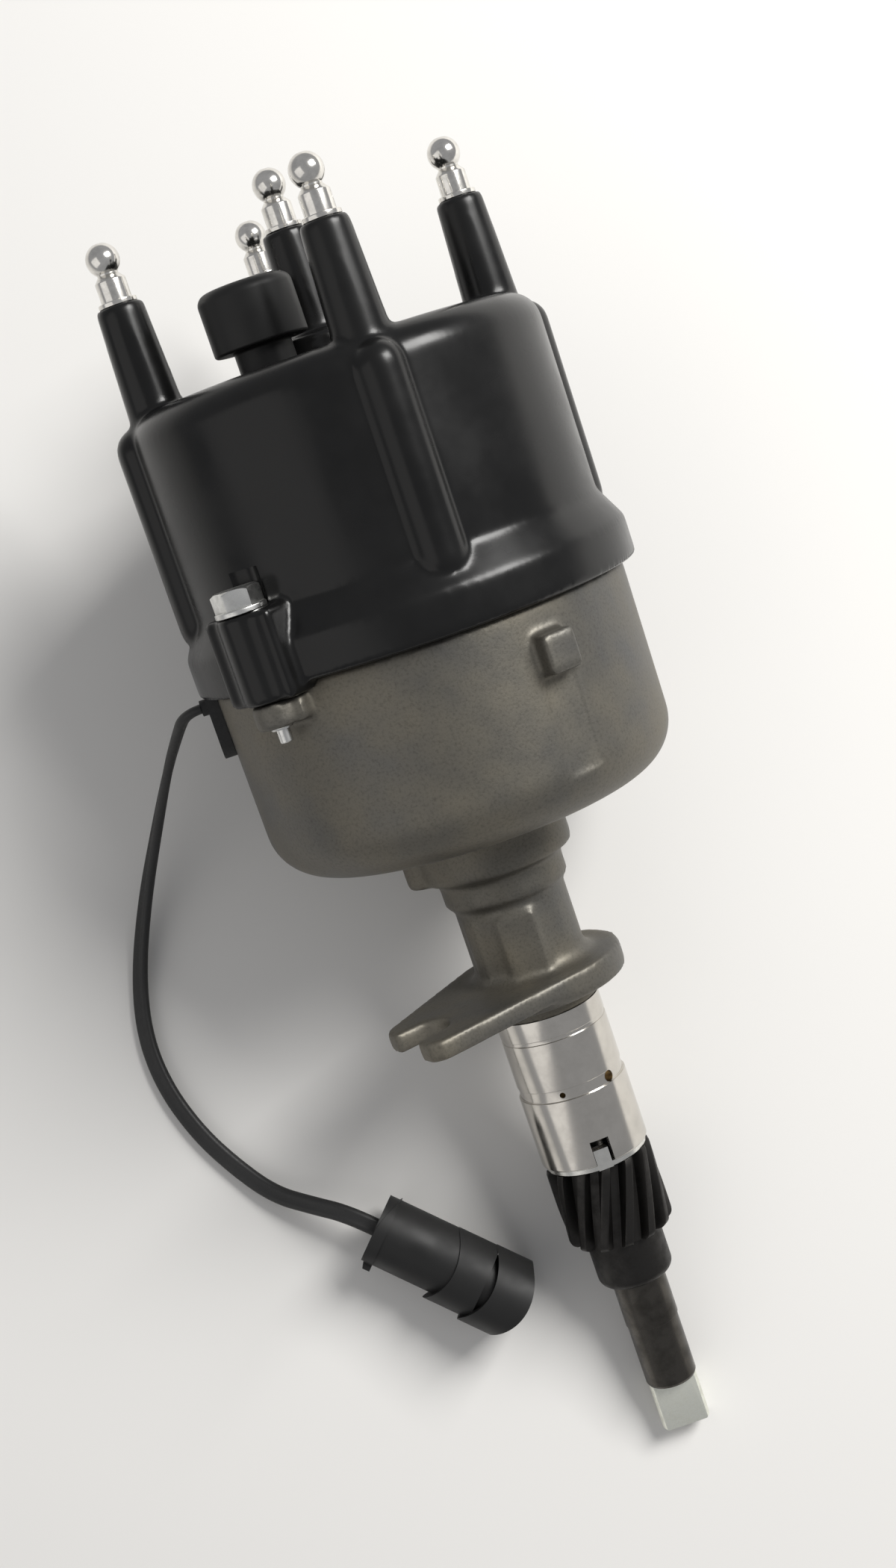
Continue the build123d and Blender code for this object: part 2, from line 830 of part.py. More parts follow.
# ---- cap -----------------------------------------------------------------------------
def make_lug():
    block = radial_block(lug_width, cap_inner_radius + 1, lug_face_radius, lug_bottom, lug_top)
    block = fillet(block.edges().filter_by(Axis.Z), 1.2)
    return block + Pos(0, -screw_circle_radius) * post(lug_boss_radius, lug_bottom, lug_top)


def make_rib():
    """Half-round rib under a tower, with a bullet tip over the chamfer."""
    tip_level = rim_level + rib_rise + rib_radius
    head_level = cap_top - rib_drop - rib_radius
    rib = post(rib_radius, tip_level, head_level)
    rib += Pos(0, 0, tip_level) * Sphere(rib_radius)
    rib += Pos(0, 0, head_level) * Sphere(rib_radius)
    return Pos(0, rib_radius - rib_reach, 0) * rib


def make_tower(top):
    base = cap_top - cap_edge_radius
    base_radius = tower_base_radius + (tower_base_radius - tower_top_radius) * cap_edge_radius / tower_height
    return turned([(0, base), (base_radius, base), (tower_top_radius, top), (0, top)], [0, 0, 0.6, 0])


def make_distributor_cap():
    shell = turned(
        [
            (0, rim_level),
            (band_radius, rim_level),
            (band_radius, rim_level + band_height),
            (cap_wall_radius, rim_level + band_height + band_chamfer_height),
            (cap_wall_radius, cap_top),
            (0, cap_top),
        ],
        [0, 0.5, 0.8, 1.2, cap_edge_radius, 0],
    )
    for angle in tower_angles:
        shell += around(angle) * make_rib()
        shell += around(angle, tower_circle_radius) * make_tower(tower_top)
    shell += make_tower(coil_tower_top)
    shell += turned(
        [
            (0, roof_level),
            (coil_pedestal_radius, roof_level),
            (coil_pedestal_radius, cap_top + coil_pedestal_height),
            (0, cap_top + coil_pedestal_height),
        ],
        [0, 0, 1.5, 0],
    )
    shell += around(vent_angle, vent_offset) * post(
        vent_nipple_radius, roof_level, cap_top + vent_nipple_height
    )
    for angle in screw_angles:
        shell += around(angle) * make_lug()

    shell -= turned(
        [
            (0, rim_level - 1),
            (cap_inner_radius, rim_level - 1),
            (cap_inner_radius, roof_level),
            (0, roof_level),
        ],
        [0, 0, 3.0, 0],
    )
    shell -= post(bowl_rim_radius + loose_gap, lug_bottom - 1, rim_level)
    shell -= post(
        register_radius + loose_gap, rim_level - 1, rim_level + register_height + loose_gap
    )
    boss_bottom = roof_level - electrode_boss_drop
    for angle in tower_angles:
        shell += around(angle, tower_circle_radius) * post(electrode_boss_radius, boss_bottom, roof_level + 1)
    shell += post(brush_boss_radius, brush_boss_bottom, roof_level + 1)

    for angle in tower_angles:
        shell -= around(angle, tower_circle_radius) * post(stem_radius, electrode_top - 1, tower_top + 1)
        shell -= around(angle, tower_circle_radius) * post(electrode_radius, boss_bottom - 1, electrode_top)
    shell -= post(coil_stem_radius, coil_stem_bottom, coil_tower_top + 1)
    shell -= post(brush_radius + running_gap, brush_boss_bottom - 1, coil_stem_bottom)
    shell -= around(vent_angle, vent_offset) * post(
        vent_hole_radius, roof_level - 1, cap_top + vent_nipple_height + 1
    )
    for angle in screw_angles:
        place = around(angle, screw_circle_radius)
        shell -= place * post(screw_radius + loose_gap, lug_bottom - 1, lug_top + 1)
        shell -= place * post(
            screw_washer_radius + loose_gap, lug_top, lug_top + screw_head_height + spot_face_headroom
        )
    return shell


def make_vent_hood():
    hood_bottom = cap_top + vent_hood_gap
    hood_top = hood_bottom + vent_hood_height
    hood = turned(
        [
            (0, cap_top),
            (vent_neck_radius, cap_top),
            (vent_neck_radius, hood_bottom),
            (vent_hood_radius, hood_bottom),
            (vent_hood_radius, hood_top),
            (0, hood_top),
        ],
        [0, 0, 0.6, 0.6, 2.2, 0],
    )
    hood -= post(vent_nipple_radius, cap_top - 1, cap_top + vent_nipple_height)
    return around(vent_angle, vent_offset) * hood


def make_ball_post(top):
    """Ball stud that stands on a tower top, seen above the collar."""
    ball_centre = top + ball_centre_height
    stud = turned(
        [
            (0, top),
            (post_collar_radius, top),
            (post_collar_radius, top + post_collar_height),
            (post_radius, top + post_collar_height),
            (post_radius, top + post_height),
            (post_waist_radius, top + post_height + post_taper_height),
            (post_waist_radius, ball_centre),
            (0, ball_centre),
        ],
        [0, 0, 0.2, 0, 0.3, 0, 0, 0],
    )
    ball = Pos(0, 0, ball_centre) * Sphere(ball_radius)
    ball &= post(ball_radius + 1, ball_centre - ball_radius, ball_centre + ball_flat_share * ball_radius)
    return stud + ball


def make_plug_terminal(angle):
    terminal = make_ball_post(tower_top) + post(stem_radius, electrode_top, tower_top)
    return around(angle, tower_circle_radius) * terminal


def make_plug_electrode(angle):
    electrode = post(electrode_radius, electrode_bottom, electrode_top)
    return around(angle, tower_circle_radius) * electrode


def make_coil_terminal():
    return make_ball_post(coil_tower_top) + post(coil_stem_radius, coil_stem_bottom, coil_tower_top)


def make_carbon_brush():
    brush = post(brush_radius, brush_bottom, brush_top)
    return fillet(brush.edges().sort_by(Axis.Z)[0], 0.8)


def make_brush_spring():
    height = coil_stem_bottom - brush_top - 2 * spring_wire_radius
    radius = brush_radius - spring_wire_radius - spring_side_gap
    path = Helix(height / spring_turns, height, radius, center=(0, 0, brush_top + spring_wire_radius))
    section = Plane(origin=path @ 0, z_dir=path % 0) * Circle(spring_wire_radius)
    return sweep(section, path, is_frenet=True)


def make_cap_screw(angle):
    head_bottom = lug_top
    washer_top = head_bottom + screw_washer_thickness
    head = post(screw_washer_radius, head_bottom, washer_top)
    head = fillet(head.edges().sort_by(Axis.Z)[-1], 0.3)
    hex_part = hexagon(screw_hex_across, washer_top, head_bottom + screw_head_height)
    crown = turned(
        [
            (0, head_bottom),
            (screw_washer_radius, head_bottom),
            (screw_washer_radius - 0.2, head_bottom + screw_head_height),
            (0, head_bottom + screw_head_height),
        ],
        [0, 0, 0.6, 0],
    )
    screw = head + (hex_part & crown)
    screw += post(screw_radius, head_bottom - screw_length, head_bottom)
    return around(angle, screw_circle_radius) * Rot(0, 0, screw_head_turn) * screw


# ---- lead, its outlet and its connector ----------------------------------------------
def make_grommet_plate(width, height, bottom):
    """Flat strip with a round lower end, on the side at angle zero."""
    round_level = bottom + width / 2
    inner = bowl_inner_radius - grommet_blank_reach
    outer = bowl_rim_radius + grommet_blank_reach
    strip = radial_block(width, inner, outer, round_level, bottom + height)
    return strip + radial_rod(width / 2, inner, outer, round_level)


def make_lead_grommet():
    slot_bottom = rim_level - grommet_slot_depth
    flange_top_level = rim_level - loose_gap
    flange = make_grommet_plate(
        grommet_flange_width, grommet_flange_height, flange_top_level - grommet_flange_height
    )
    outer_radius = bowl_rim_radius + grommet_proud
    outer = flange & tube(outer_radius, bowl_rim_radius, pilot_end, flange_top_level)
    inner = flange & tube(
        bowl_inner_radius, bowl_inner_radius - grommet_inner_flange, pilot_end, flange_top_level
    )
    neck = radial_block(
        grommet_slot_width,
        bowl_inner_radius - grommet_inner_flange,
        bowl_rim_radius + grommet_proud / 2,
        slot_bottom,
        flange_top_level,
    )
    neck &= tube(outer_radius, bowl_inner_radius - grommet_inner_flange, pilot_end, flange_top_level)
    exit_level = rim_level - lead_exit_drop
    collar = radial_rod(
        lead_collar_radius, bowl_rim_radius, outer_radius + lead_exit_reach, exit_level
    )
    return around(grommet_angle) * (outer + inner + neck + collar)


lead_points = [
    (-45.2, 37.264, 47.313),
    (-48.6, 37.264, 47.313),
    (-52.01, 35.25, 40.0),
    (-57.3, 30.65, 30.0),
    (-65.1, 21.34, 17.0),
    (-73.83, 8.98, 6.0),
    (-80.47, -5.09, 2.2),
    (-83.53, -18.06, 2.0),
    (-82.85, -30.03, 2.0),
    (-78.95, -41.86, 2.0),
    (-73.37, -51.55, 2.0),
    (-67.35, -59.23, 3.2),
    (-59.99, -63.7, 6.2),
    (-53.286, -67.484, 8.65),
    (-48.571, -71.959, 8.65),
]


def corner_radii(points):
    """Largest arc that two runs allow at each corner of the route."""
    radii = []
    for before, corner, after in zip(points, points[1:], points[2:]):
        incoming = Vector(*corner) - Vector(*before)
        outgoing = Vector(*after) - Vector(*corner)
        turn = radians(incoming.get_angle(outgoing))
        radii.append(0.45 * min(incoming.length, outgoing.length) / tan(turn / 2))
    return radii


def make_lead():
    radii = corner_radii(lead_points)
    print("lead radii", [round(radius, 1) for radius in radii])
    path = FilletPolyline(*lead_points, radius=radii)
    section = Plane(origin=path @ 0, z_dir=path % 0) * Circle(lead_radius)
    solid = sweep(section, path)
    expected = section.area * path.length
    print("lead length", round(path.length, 2), "volume share", round(solid.volume / expected, 4))
    return solid


def lay_connector(shape):
    origin = Pos(connector_origin[0], connector_origin[1], connector_nose_radius)
    return origin * Rot(0, 0, connector_turn) * shape


def lying_rod(radius, start, end, sideways=0.0):
    return Pos((start + end) / 2, sideways, 0) * Rot(0, 90, 0) * Cylinder(radius, end - start)


def bowed_limit(reach):
    """Upright cylinder whose far side bows out to a reach along the connector."""
    return Pos(reach - connector_bow_radius, connector_bow_shift, 0) * Cylinder(connector_bow_radius, 60)


def make_connector_shell():
    """Stepped plug moulding whose sections are nearly flush along one side."""
    middle_offset = connector_nose_radius - connector_middle_radius - connector_side_step
    body_offset = connector_nose_radius - connector_body_radius - 2 * connector_side_step
    plate = lying_rod(connector_plate_radius, 0, connector_plate_thickness, body_offset)
    ear_half = connector_ear_reach / 2
    plate += Pos(connector_plate_thickness / 2, body_offset - ear_half, 0) * Box(
        connector_plate_thickness, 2 * ear_half, connector_ear_width
    )
    plate &= Pos(connector_back_bow_radius, connector_back_bow_shift, 0) * Cylinder(
        connector_back_bow_radius, 60
    )
    body = lying_rod(connector_body_radius, 0, connector_nose_start, body_offset)
    middle = lying_rod(
        connector_middle_radius,
        connector_middle_start - connector_overlap,
        connector_nose_start + connector_overlap,
        middle_offset,
    )
    middle -= bowed_limit(connector_middle_start + connector_bow_length)
    nose = lying_rod(connector_nose_radius, connector_nose_start - connector_overlap, connector_length)
    nose &= bowed_limit(connector_length)
    nose -= bowed_limit(connector_nose_start + connector_bow_length)
    core = lying_rod(
        connector_body_radius - connector_overlap,
        connector_middle_start,
        connector_length - connector_core_recess,
        middle_offset,
    )
    shell = plate + body + core + middle + nose
    for side in (-1, 1):
        shell -= lying_rod(
            contact_sleeve_radius,
            connector_length - contact_depth,
            connector_length + 1,
            side * contact_spacing / 2,
        )
    return lay_connector(shell)


def make_connector_contacts():
    sleeves = []
    for side in (-1, 1):
        start = connector_length - contact_depth
        sideways = side * contact_spacing / 2
        sleeve = lying_rod(contact_sleeve_radius, start, connector_length - contact_recess, sideways)
        sleeve -= lying_rod(contact_bore_radius, start + contact_recess, connector_length, sideways)
        sleeves.append(lay_connector(sleeve))
    return Compound(children=sleeves)


# ---- assembly ------------------------------------------------------------------------
def build_upright_pieces():
    pieces = {
        "housing": make_housing(),
        "upper_bushing": make_upper_bushing(),
        "lower_bushing": make_lower_bushing(),
        "shaft_seal": make_shaft_seal(),
        "thrust_washer": make_thrust_washer(),
        "sensor_plate": make_sensor_plate(),
        "trigger_sensor": make_trigger_sensor(),
        "sensor_wires": make_sensor_wires(),
        "lead_grommet": make_lead_grommet(),
        "shaft": make_shaft(),
        "drive_gear": make_drive_gear(),
        "gear_pin": make_gear_pin(),
        "shaft_shim": make_shaft_shim(),
        "retaining_clip": make_retaining_clip(),
        "pulse_ring": make_pulse_ring(),
        "pulse_ring_pin": make_pulse_ring_pin(),
        "rotor_body": make_rotor_body(),
        "rotor_blade": make_rotor_blade(),
        "rotor_contact_strip": make_contact_strip(),
        "distributor_cap": make_distributor_cap(),
        "vent_hood": make_vent_hood(),
        "coil_terminal": make_coil_terminal(),
        "carbon_brush": make_carbon_brush(),
        "brush_spring": make_brush_spring(),
    }
    for index, angle in enumerate(plate_screw_angles, start=1):
        pieces[f"plate_screw_{index}"] = make_plate_screw(angle)
    for index, angle in enumerate(tower_angles, start=1):
        pieces[f"plug_terminal_{index}"] = make_plug_terminal(angle)
        pieces[f"plug_electrode_{index}"] = make_plug_electrode(angle)
    for index, angle in enumerate(screw_angles, start=1):
        pieces[f"cap_screw_{index}"] = make_cap_screw(angle)
    return pieces


def main():
    os.makedirs("parts", exist_ok=True)
    lying = {name: lay_down * shape for name, shape in build_upright_pieces().items()}
    boxes = [shape.bounding_box() for name, shape in lying.items() if name != "lead_grommet"]
    low = min(box.min.Y for box in boxes)
    high = max(box.max.Y for box in boxes)
    settle = Pos(0, -(low + high) / 2, axis_height)
    print("lean", round(lean, 3), "axis height", round(axis_height, 3), "shift", round(-(low + high) / 2, 3))
    finished = {name: settle * shape for name, shape in lying.items()}
    finished["lead"] = make_lead()
    finished["connector_shell"] = make_connector_shell()
    finished["connector_contacts"] = make_connector_contacts()
    for name, shape in finished.items():
        export_step(shape, f"parts/{name}.step")


main()
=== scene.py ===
import json
from math import acos, asin, cos, pi, radians, sin, sqrt, tan

import bmesh
import bpy
from mathutils import Matrix, Vector


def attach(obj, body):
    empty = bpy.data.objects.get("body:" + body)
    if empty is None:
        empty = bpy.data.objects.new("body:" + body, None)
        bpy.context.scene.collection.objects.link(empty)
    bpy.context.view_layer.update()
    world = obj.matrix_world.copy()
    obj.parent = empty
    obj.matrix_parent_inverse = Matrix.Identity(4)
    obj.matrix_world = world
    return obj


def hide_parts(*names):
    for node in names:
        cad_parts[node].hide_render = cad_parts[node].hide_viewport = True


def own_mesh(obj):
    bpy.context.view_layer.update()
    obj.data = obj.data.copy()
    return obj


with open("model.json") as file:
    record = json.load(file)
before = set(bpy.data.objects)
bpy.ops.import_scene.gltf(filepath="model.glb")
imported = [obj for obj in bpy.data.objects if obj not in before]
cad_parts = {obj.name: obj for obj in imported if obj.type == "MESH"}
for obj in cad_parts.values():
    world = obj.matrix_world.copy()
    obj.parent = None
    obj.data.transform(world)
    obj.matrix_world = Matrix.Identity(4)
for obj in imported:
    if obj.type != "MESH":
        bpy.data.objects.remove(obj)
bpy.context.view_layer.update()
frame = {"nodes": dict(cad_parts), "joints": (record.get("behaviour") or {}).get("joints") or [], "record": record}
nodes = frame["nodes"]
mm = 0.001

# the distributor's own axis: z towards the cap, zero on the flange's seat face, shapes in mm
spinJoint = next(joint for joint in frame["joints"] if joint["name"] == "shaft_spin")
axisZ = Vector(spinJoint["axis"]).normalized()
axisX = Vector((1, 0, 0))
axisY = axisZ.cross(axisX)
turnDown = Matrix((axisX, axisY, axisZ)).transposed().to_4x4()
layDown = Matrix.Translation(spinJoint["pos_m"]) @ turnDown @ Matrix.Scale(mm, 4)

# levels along the axis that several pieces share
level = {
    "tang": -98.3, "tail": -88.1, "step": -74.3, "hub": -64.3, "gearFoot": -53.8, "gearHead": -36.4,
    "shankEnd": -35.3, "seat": 0.0, "flange": 5.6, "neck": 21.7, "collar": 27.6, "ring": 35.8,
    "bowl": 38.9, "bowlFloor": 42.3, "bearingBoss": 54.3, "rim": 77.6, "lugFoot": 75.9,
    "lugHead": 92.6, "shaftTop": 104.0, "roof": 127.7, "capTop": 131.7, "towerTop": 152.0, "coilTop": 156.0,
}
towerAngles = [11, 101, 191, 281]
screwAngles = [-41, 139]
towerCircle = 34.25
screwCircle = 44.5


# camera
cameraSet = {
    "place": (-0.0044, -0.027855, 0.437993),
    "tilt": 5.21,       # degrees off straight down, towards the drive end
    "roll": 18.8,        # how far the picture is turned about the view line
    "lens": 46.49,
    "sensor": 36.0,
}


def makeCamera():
    tilt, roll = radians(cameraSet["tilt"]), radians(cameraSet["roll"])
    back = Vector((0, -sin(tilt), cos(tilt)))
    up = Vector((0, cos(tilt), sin(tilt)))
    across = Vector((1, 0, 0))
    pictureUp = across * sin(roll) + up * cos(roll)
    pictureRight = across * cos(roll) - up * sin(roll)
    data = bpy.data.cameras.new("camera")
    data.lens = cameraSet["lens"]
    data.sensor_width = cameraSet["sensor"]
    data.clip_start = 0.01
    data.clip_end = 20
    camera = bpy.data.objects.new("camera", data)
    turn = Matrix((pictureRight, pictureUp, back)).transposed().to_4x4()
    camera.matrix_world = Matrix.Translation(cameraSet["place"]) @ turn
    bpy.context.collection.objects.link(camera)
    bpy.context.scene.camera = camera


makeCamera()
print("camera made")


# shape helpers: every one adds a closed shell, in mm on the distributor's axis
def around(angle, radius=0.0, height=0.0):
    return Matrix.Rotation(radians(angle), 4, "Z") @ Matrix.Translation((0, -radius, height))


def rounded(corners, smoothness=12):
    # corners are (radius, level) or (radius, level, rounding)
    points = []
    count = len(corners)
    for index, corner in enumerate(corners):
        here = Vector(corner[:2])
        rounding = corner[2] if len(corner) > 2 else 0
        if not rounding:
            points.append(here)
            continue
        before = Vector(corners[index - 1][:2]) - here
        after = Vector(corners[(index + 1) % count][:2]) - here
        half = before.angle(after) / 2
        reach = rounding / tan(half)
        for side, other in ((before, corners[index - 1]), (after, corners[(index + 1) % count])):
            reach = min(reach, (0.49 if len(other) > 2 else 0.98) * side.length)
        arcRadius = reach * tan(half)
        centre = here + (before.normalized() + after.normalized()).normalized() * (arcRadius / sin(half))
        start = here + before.normalized() * reach - centre
        end = here + after.normalized() * reach - centre
        sweep = start.angle_signed(end)
        steps = max(2, round(abs(sweep) / radians(90) * smoothness))
        for step in range(steps + 1):
            turn = -sweep * step / steps
            points.append(centre + Vector((
                start.x * cos(turn) - start.y * sin(turn),
                start.x * sin(turn) + start.y * cos(turn),
            )))
    return points


def lathe(mesh, corners, place=Matrix(), steps=96, hollow=False):
    # corners run from the axis round the outside and back to the axis, or all round when hollow
    rings = []
    for radius, height in rounded(corners):
        if radius < 0.001:
            rings.append([mesh.verts.new(place @ Vector((0, 0, height)))])
            continue
        ring = []
        for step in range(steps):
            turn = 2 * pi * step / steps
            ring.append(mesh.verts.new(place @ Vector((radius * sin(turn), -radius * cos(turn), height))))
        rings.append(ring)
    pairs = list(zip(rings, rings[1:]))
    if hollow:
        pairs.append((rings[-1], rings[0]))
    for low, high in pairs:
        for step in range(steps):
            after = (step + 1) % steps
            four = [
                low[step % len(low)], low[after % len(low)], high[after % len(high)], high[step % len(high)],
            ]
            corner = list(dict.fromkeys(four))
            if len(corner) > 2:
                mesh.faces.new(corner)


def post(mesh, radius, bottom, top, place=Matrix(), steps=48, edge=0.0):
    lathe(mesh, [(0, bottom), (radius, bottom, edge), (radius, top, edge), (0, top)], place, steps)


def rod(mesh, radius, start, end, place=Matrix(), steps=32):
    # lies outwards along the side that place points to
    post(mesh, radius, start, end, place @ Matrix.Rotation(radians(90), 4, "X"), steps)


def block(mesh, low, high, place=Matrix(), edge=0.0):
    made = bmesh.new()
    bmesh.ops.create_cube(made, size=1)
    size = Vector(high) - Vector(low)
    middle = (Vector(high) + Vector(low)) / 2
    fit = Matrix.Translation(middle) @ Matrix.Diagonal((*size, 1))
    bmesh.ops.transform(made, matrix=fit, verts=made.verts)
    if edge:
        bmesh.ops.bevel(made, geom=made.edges[:], offset=edge, segments=4, profile=0.5, affect="EDGES")
    bmesh.ops.transform(made, matrix=place, verts=made.verts)
    addTo(mesh, made)


def slab(mesh, outline, bottom, top, place=Matrix()):
    # a flat outline of (x, y) points, made thick
    rings = [[mesh.verts.new(place @ Vector((x, y, height))) for x, y in outline] for height in (bottom, top)]
    mesh.faces.new(rings[0])
    mesh.faces.new(rings[1])
    for index in range(len(outline)):
        after = (index + 1) % len(outline)
        mesh.faces.new([rings[0][index], rings[0][after], rings[1][after], rings[1][index]])


def addTo(mesh, other):
    made = bpy.data.meshes.new("shell")
    other.to_mesh(made)
    mesh.from_mesh(made)
    bpy.data.meshes.remove(made)
    other.free()


# piece helpers
def toObject(name, mesh):
    bmesh.ops.recalc_face_normals(mesh, faces=mesh.faces)
    data = bpy.data.meshes.new(name)
    mesh.to_mesh(data)
    mesh.free()
    made = bpy.data.objects.new(name, data)
    bpy.context.collection.objects.link(made)
    return made


def applyModifiers(piece):
    graph = bpy.context.evaluated_depsgraph_get()
    old = piece.data
    name = old.name
    piece.data = bpy.data.meshes.new_from_object(piece.evaluated_get(graph))
    piece.modifiers.clear()
    bpy.data.meshes.remove(old)
    piece.data.name = name


def melt(piece, grain, passes):
    # overlapping shells become one casting with soft inner corners
    remesh = piece.modifiers.new("melt", "REMESH")
    remesh.mode = "VOXEL"
    remesh.voxel_size = grain
    soften = piece.modifiers.new("soften", "SMOOTH")
    soften.factor = 0.5
    soften.iterations = passes
    applyModifiers(piece)


def cutAway(piece, tool):
    cutter = toObject("cutter", tool)
    cut = piece.modifiers.new("cut", "BOOLEAN")
    cut.operation = "DIFFERENCE"
    cut.solver = "MANIFOLD"
    cut.object = cutter
    applyModifiers(piece)
    bpy.data.objects.remove(cutter)


def bevelEdges(piece, width, segments=3, angle=35):
    bevel = piece.modifiers.new("edge", "BEVEL")
    bevel.width = width
    bevel.segments = segments
    bevel.limit_method = "ANGLE"
    bevel.angle_limit = radians(angle)
    applyModifiers(piece)


def settle(piece, body, finish, replaced=(), sharp=30, place=layDown):
    # lays the piece down, shades it and hands it to its body
    piece.data.transform(place)
    piece.data.shade_smooth()
    piece.data.set_sharp_from_angle(angle=radians(sharp))
    piece.data.materials.clear()
    piece.data.materials.append(finish)
    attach(piece, body)
    if replaced:
        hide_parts(*replaced)
    return piece


# material helpers
def newFinish(name, colour, roughness, metallic=0.0):
    finish = bpy.data.materials.new(name)
    finish.use_nodes = True
    shader = finish.node_tree.nodes["Principled BSDF"]
    shader.inputs["Base Color"].default_value = (*colour, 1)
    shader.inputs["Roughness"].default_value = roughness
    shader.inputs["Metallic"].default_value = metallic
    return finish, shader


def objectPlace(finish, alongAxis=False, stretch=(1, 1, 1)):
    # coordinates that stay on the piece, turned to its axis where the pattern follows that
    tree = finish.node_tree
    coordinates = tree.nodes.new("ShaderNodeTexCoord")
    mapping = tree.nodes.new("ShaderNodeMapping")
    if alongAxis:
        mapping.inputs["Rotation"].default_value = turnDown.inverted().to_euler()
    mapping.inputs["Scale"].default_value = stretch
    tree.links.new(coordinates.outputs["Object"], mapping.inputs["Vector"])
    return mapping.outputs["Vector"]


def noise(finish, place, size, detail=4.0, strength=0.55):
    # size is the pattern's real width in mm
    texture = finish.node_tree.nodes.new("ShaderNodeTexNoise")
    texture.inputs["Scale"].default_value = 1000 / size
    texture.inputs["Detail"].default_value = detail
    texture.inputs["Roughness"].default_value = strength
    finish.node_tree.links.new(place, texture.inputs["Vector"])
    return texture.outputs["Fac"]


def ramp(finish, value, stops):
    # stops are (position, colour) with a grey number or three numbers for the colour
    node = finish.node_tree.nodes.new("ShaderNodeValToRGB")
    elements = node.color_ramp.elements
    while len(elements) < len(stops):
        elements.new(0.5)
    for element, (position, colour) in zip(elements, stops):
        element.position = position
        element.color = (colour, colour, colour, 1) if isinstance(colour, (int, float)) else (*colour, 1)
    finish.node_tree.links.new(value, node.inputs["Fac"])
    return node.outputs["Color"]


def join(finish, kind, first, second, share=1.0):
    # mixes two colours, such as MULTIPLY for dirt over a base
    node = finish.node_tree.nodes.new("ShaderNodeMix")
    node.data_type = "RGBA"
    node.blend_type = kind
    node.inputs["Factor"].default_value = share
    finish.node_tree.links.new(first, node.inputs[6])
    finish.node_tree.links.new(second, node.inputs[7])
    return node.outputs[2]


def bump(finish, shader, height, depth, strength=1.0):
    # depth in mm
    node = finish.node_tree.nodes.new("ShaderNodeBump")
    node.inputs["Strength"].default_value = strength
    node.inputs["Distance"].default_value = depth * mm
    finish.node_tree.links.new(height, node.inputs["Height"])
    finish.node_tree.links.new(node.outputs["Normal"], shader.inputs["Normal"])


def feed(finish, output, shader, socket):
    finish.node_tree.links.new(output, shader.inputs[socket])


# finishes
def castAlloy():
    finish, shader = newFinish("castAlloy", (0.12, 0.11, 0.1), 0.5, 0.7)
    place = objectPlace(finish)
    broad = noise(finish, place, 22, 3)
    grain = noise(finish, place, 0.55, 2, 0.7)
    tone = ramp(finish, broad, [
        (0.3, (0.105, 0.104, 0.101)), (0.48, (0.138, 0.13, 0.112)), (0.7, (0.18, 0.163, 0.128)),
    ])
    speck = ramp(finish, grain, [(0.28, 0.72), (0.5, 0.94), (0.75, 1.0)])
    feed(finish, join(finish, "MULTIPLY", tone, speck), shader, "Base Color")
    feed(finish, ramp(finish, broad, [(0.3, 0.4), (0.7, 0.55)]), shader, "Roughness")
    bump(finish, shader, grain, 0.05, 0.5)
    return finish


def mouldedBlack(name, shade, shine, peel, specular=0.5):
    finish, shader = newFinish(name, (shade, shade, shade * 1.05), shine)
    shader.inputs["Specular IOR Level"].default_value = specular
    place = objectPlace(finish)
    broad = noise(finish, place, 14, 3)
    feed(finish, ramp(finish, broad, [(0.3, shade * 0.85), (0.7, shade * 1.25)]), shader, "Base Color")
    feed(finish, ramp(finish, broad, [(0.35, shine * 0.85), (0.65, shine * 1.3)]), shader, "Roughness")
    bump(finish, shader, noise(finish, place, peel, 2), 0.012, 0.35)
    return finish


def turnedMetal(name, colour, roughness, lineWidth=0.12, depth=0.004, wear=0.25):
    # fine lathe lines round the axis, with duller patches
    finish, shader = newFinish(name, colour, roughness, 1.0)
    lines = noise(finish, objectPlace(finish, True, (0.04, 0.04, 1)), lineWidth, 3, 0.6)
    patches = noise(finish, objectPlace(finish), 5, 4, 0.6)
    dull = tuple(channel * (1 - wear) for channel in colour)
    feed(finish, ramp(finish, patches, [(0.35, dull), (0.6, colour)]), shader, "Base Color")
    feed(finish, ramp(finish, patches, [(0.3, roughness * 1.6), (0.65, roughness)]), shader, "Roughness")
    bump(finish, shader, lines, depth, 0.6)
    return finish


def mottledMetal(name, colour, roughness, size=2.5, wear=0.4):
    finish, shader = newFinish(name, colour, roughness, 1.0)
    place = objectPlace(finish)
    patches = noise(finish, place, size, 5, 0.65)
    dull = tuple(channel * (1 - wear) for channel in colour)
    feed(finish, ramp(finish, patches, [(0.35, dull), (0.62, colour)]), shader, "Base Color")
    shine = ramp(finish, patches, [(0.3, min(1, roughness * 1.5)), (0.7, roughness)])
    feed(finish, shine, shader, "Roughness")
    bump(finish, shader, noise(finish, place, 0.4, 2), 0.006, 0.4)
    return finish


def softRubber(name, shade, roughness):
    finish, shader = newFinish(name, (shade, shade, shade), roughness)
    place = objectPlace(finish)
    grain = noise(finish, place, 0.5, 3)
    tone = ramp(finish, noise(finish, place, 9, 3), [(0.3, shade * 0.8), (0.7, shade * 1.3)])
    shine = ramp(finish, grain, [(0.3, roughness * 0.9), (0.7, min(1, roughness * 1.15))])
    feed(finish, tone, shader, "Base Color")
    feed(finish, shine, shader, "Roughness")
    bump(finish, shader, grain, 0.02, 0.4)
    return finish


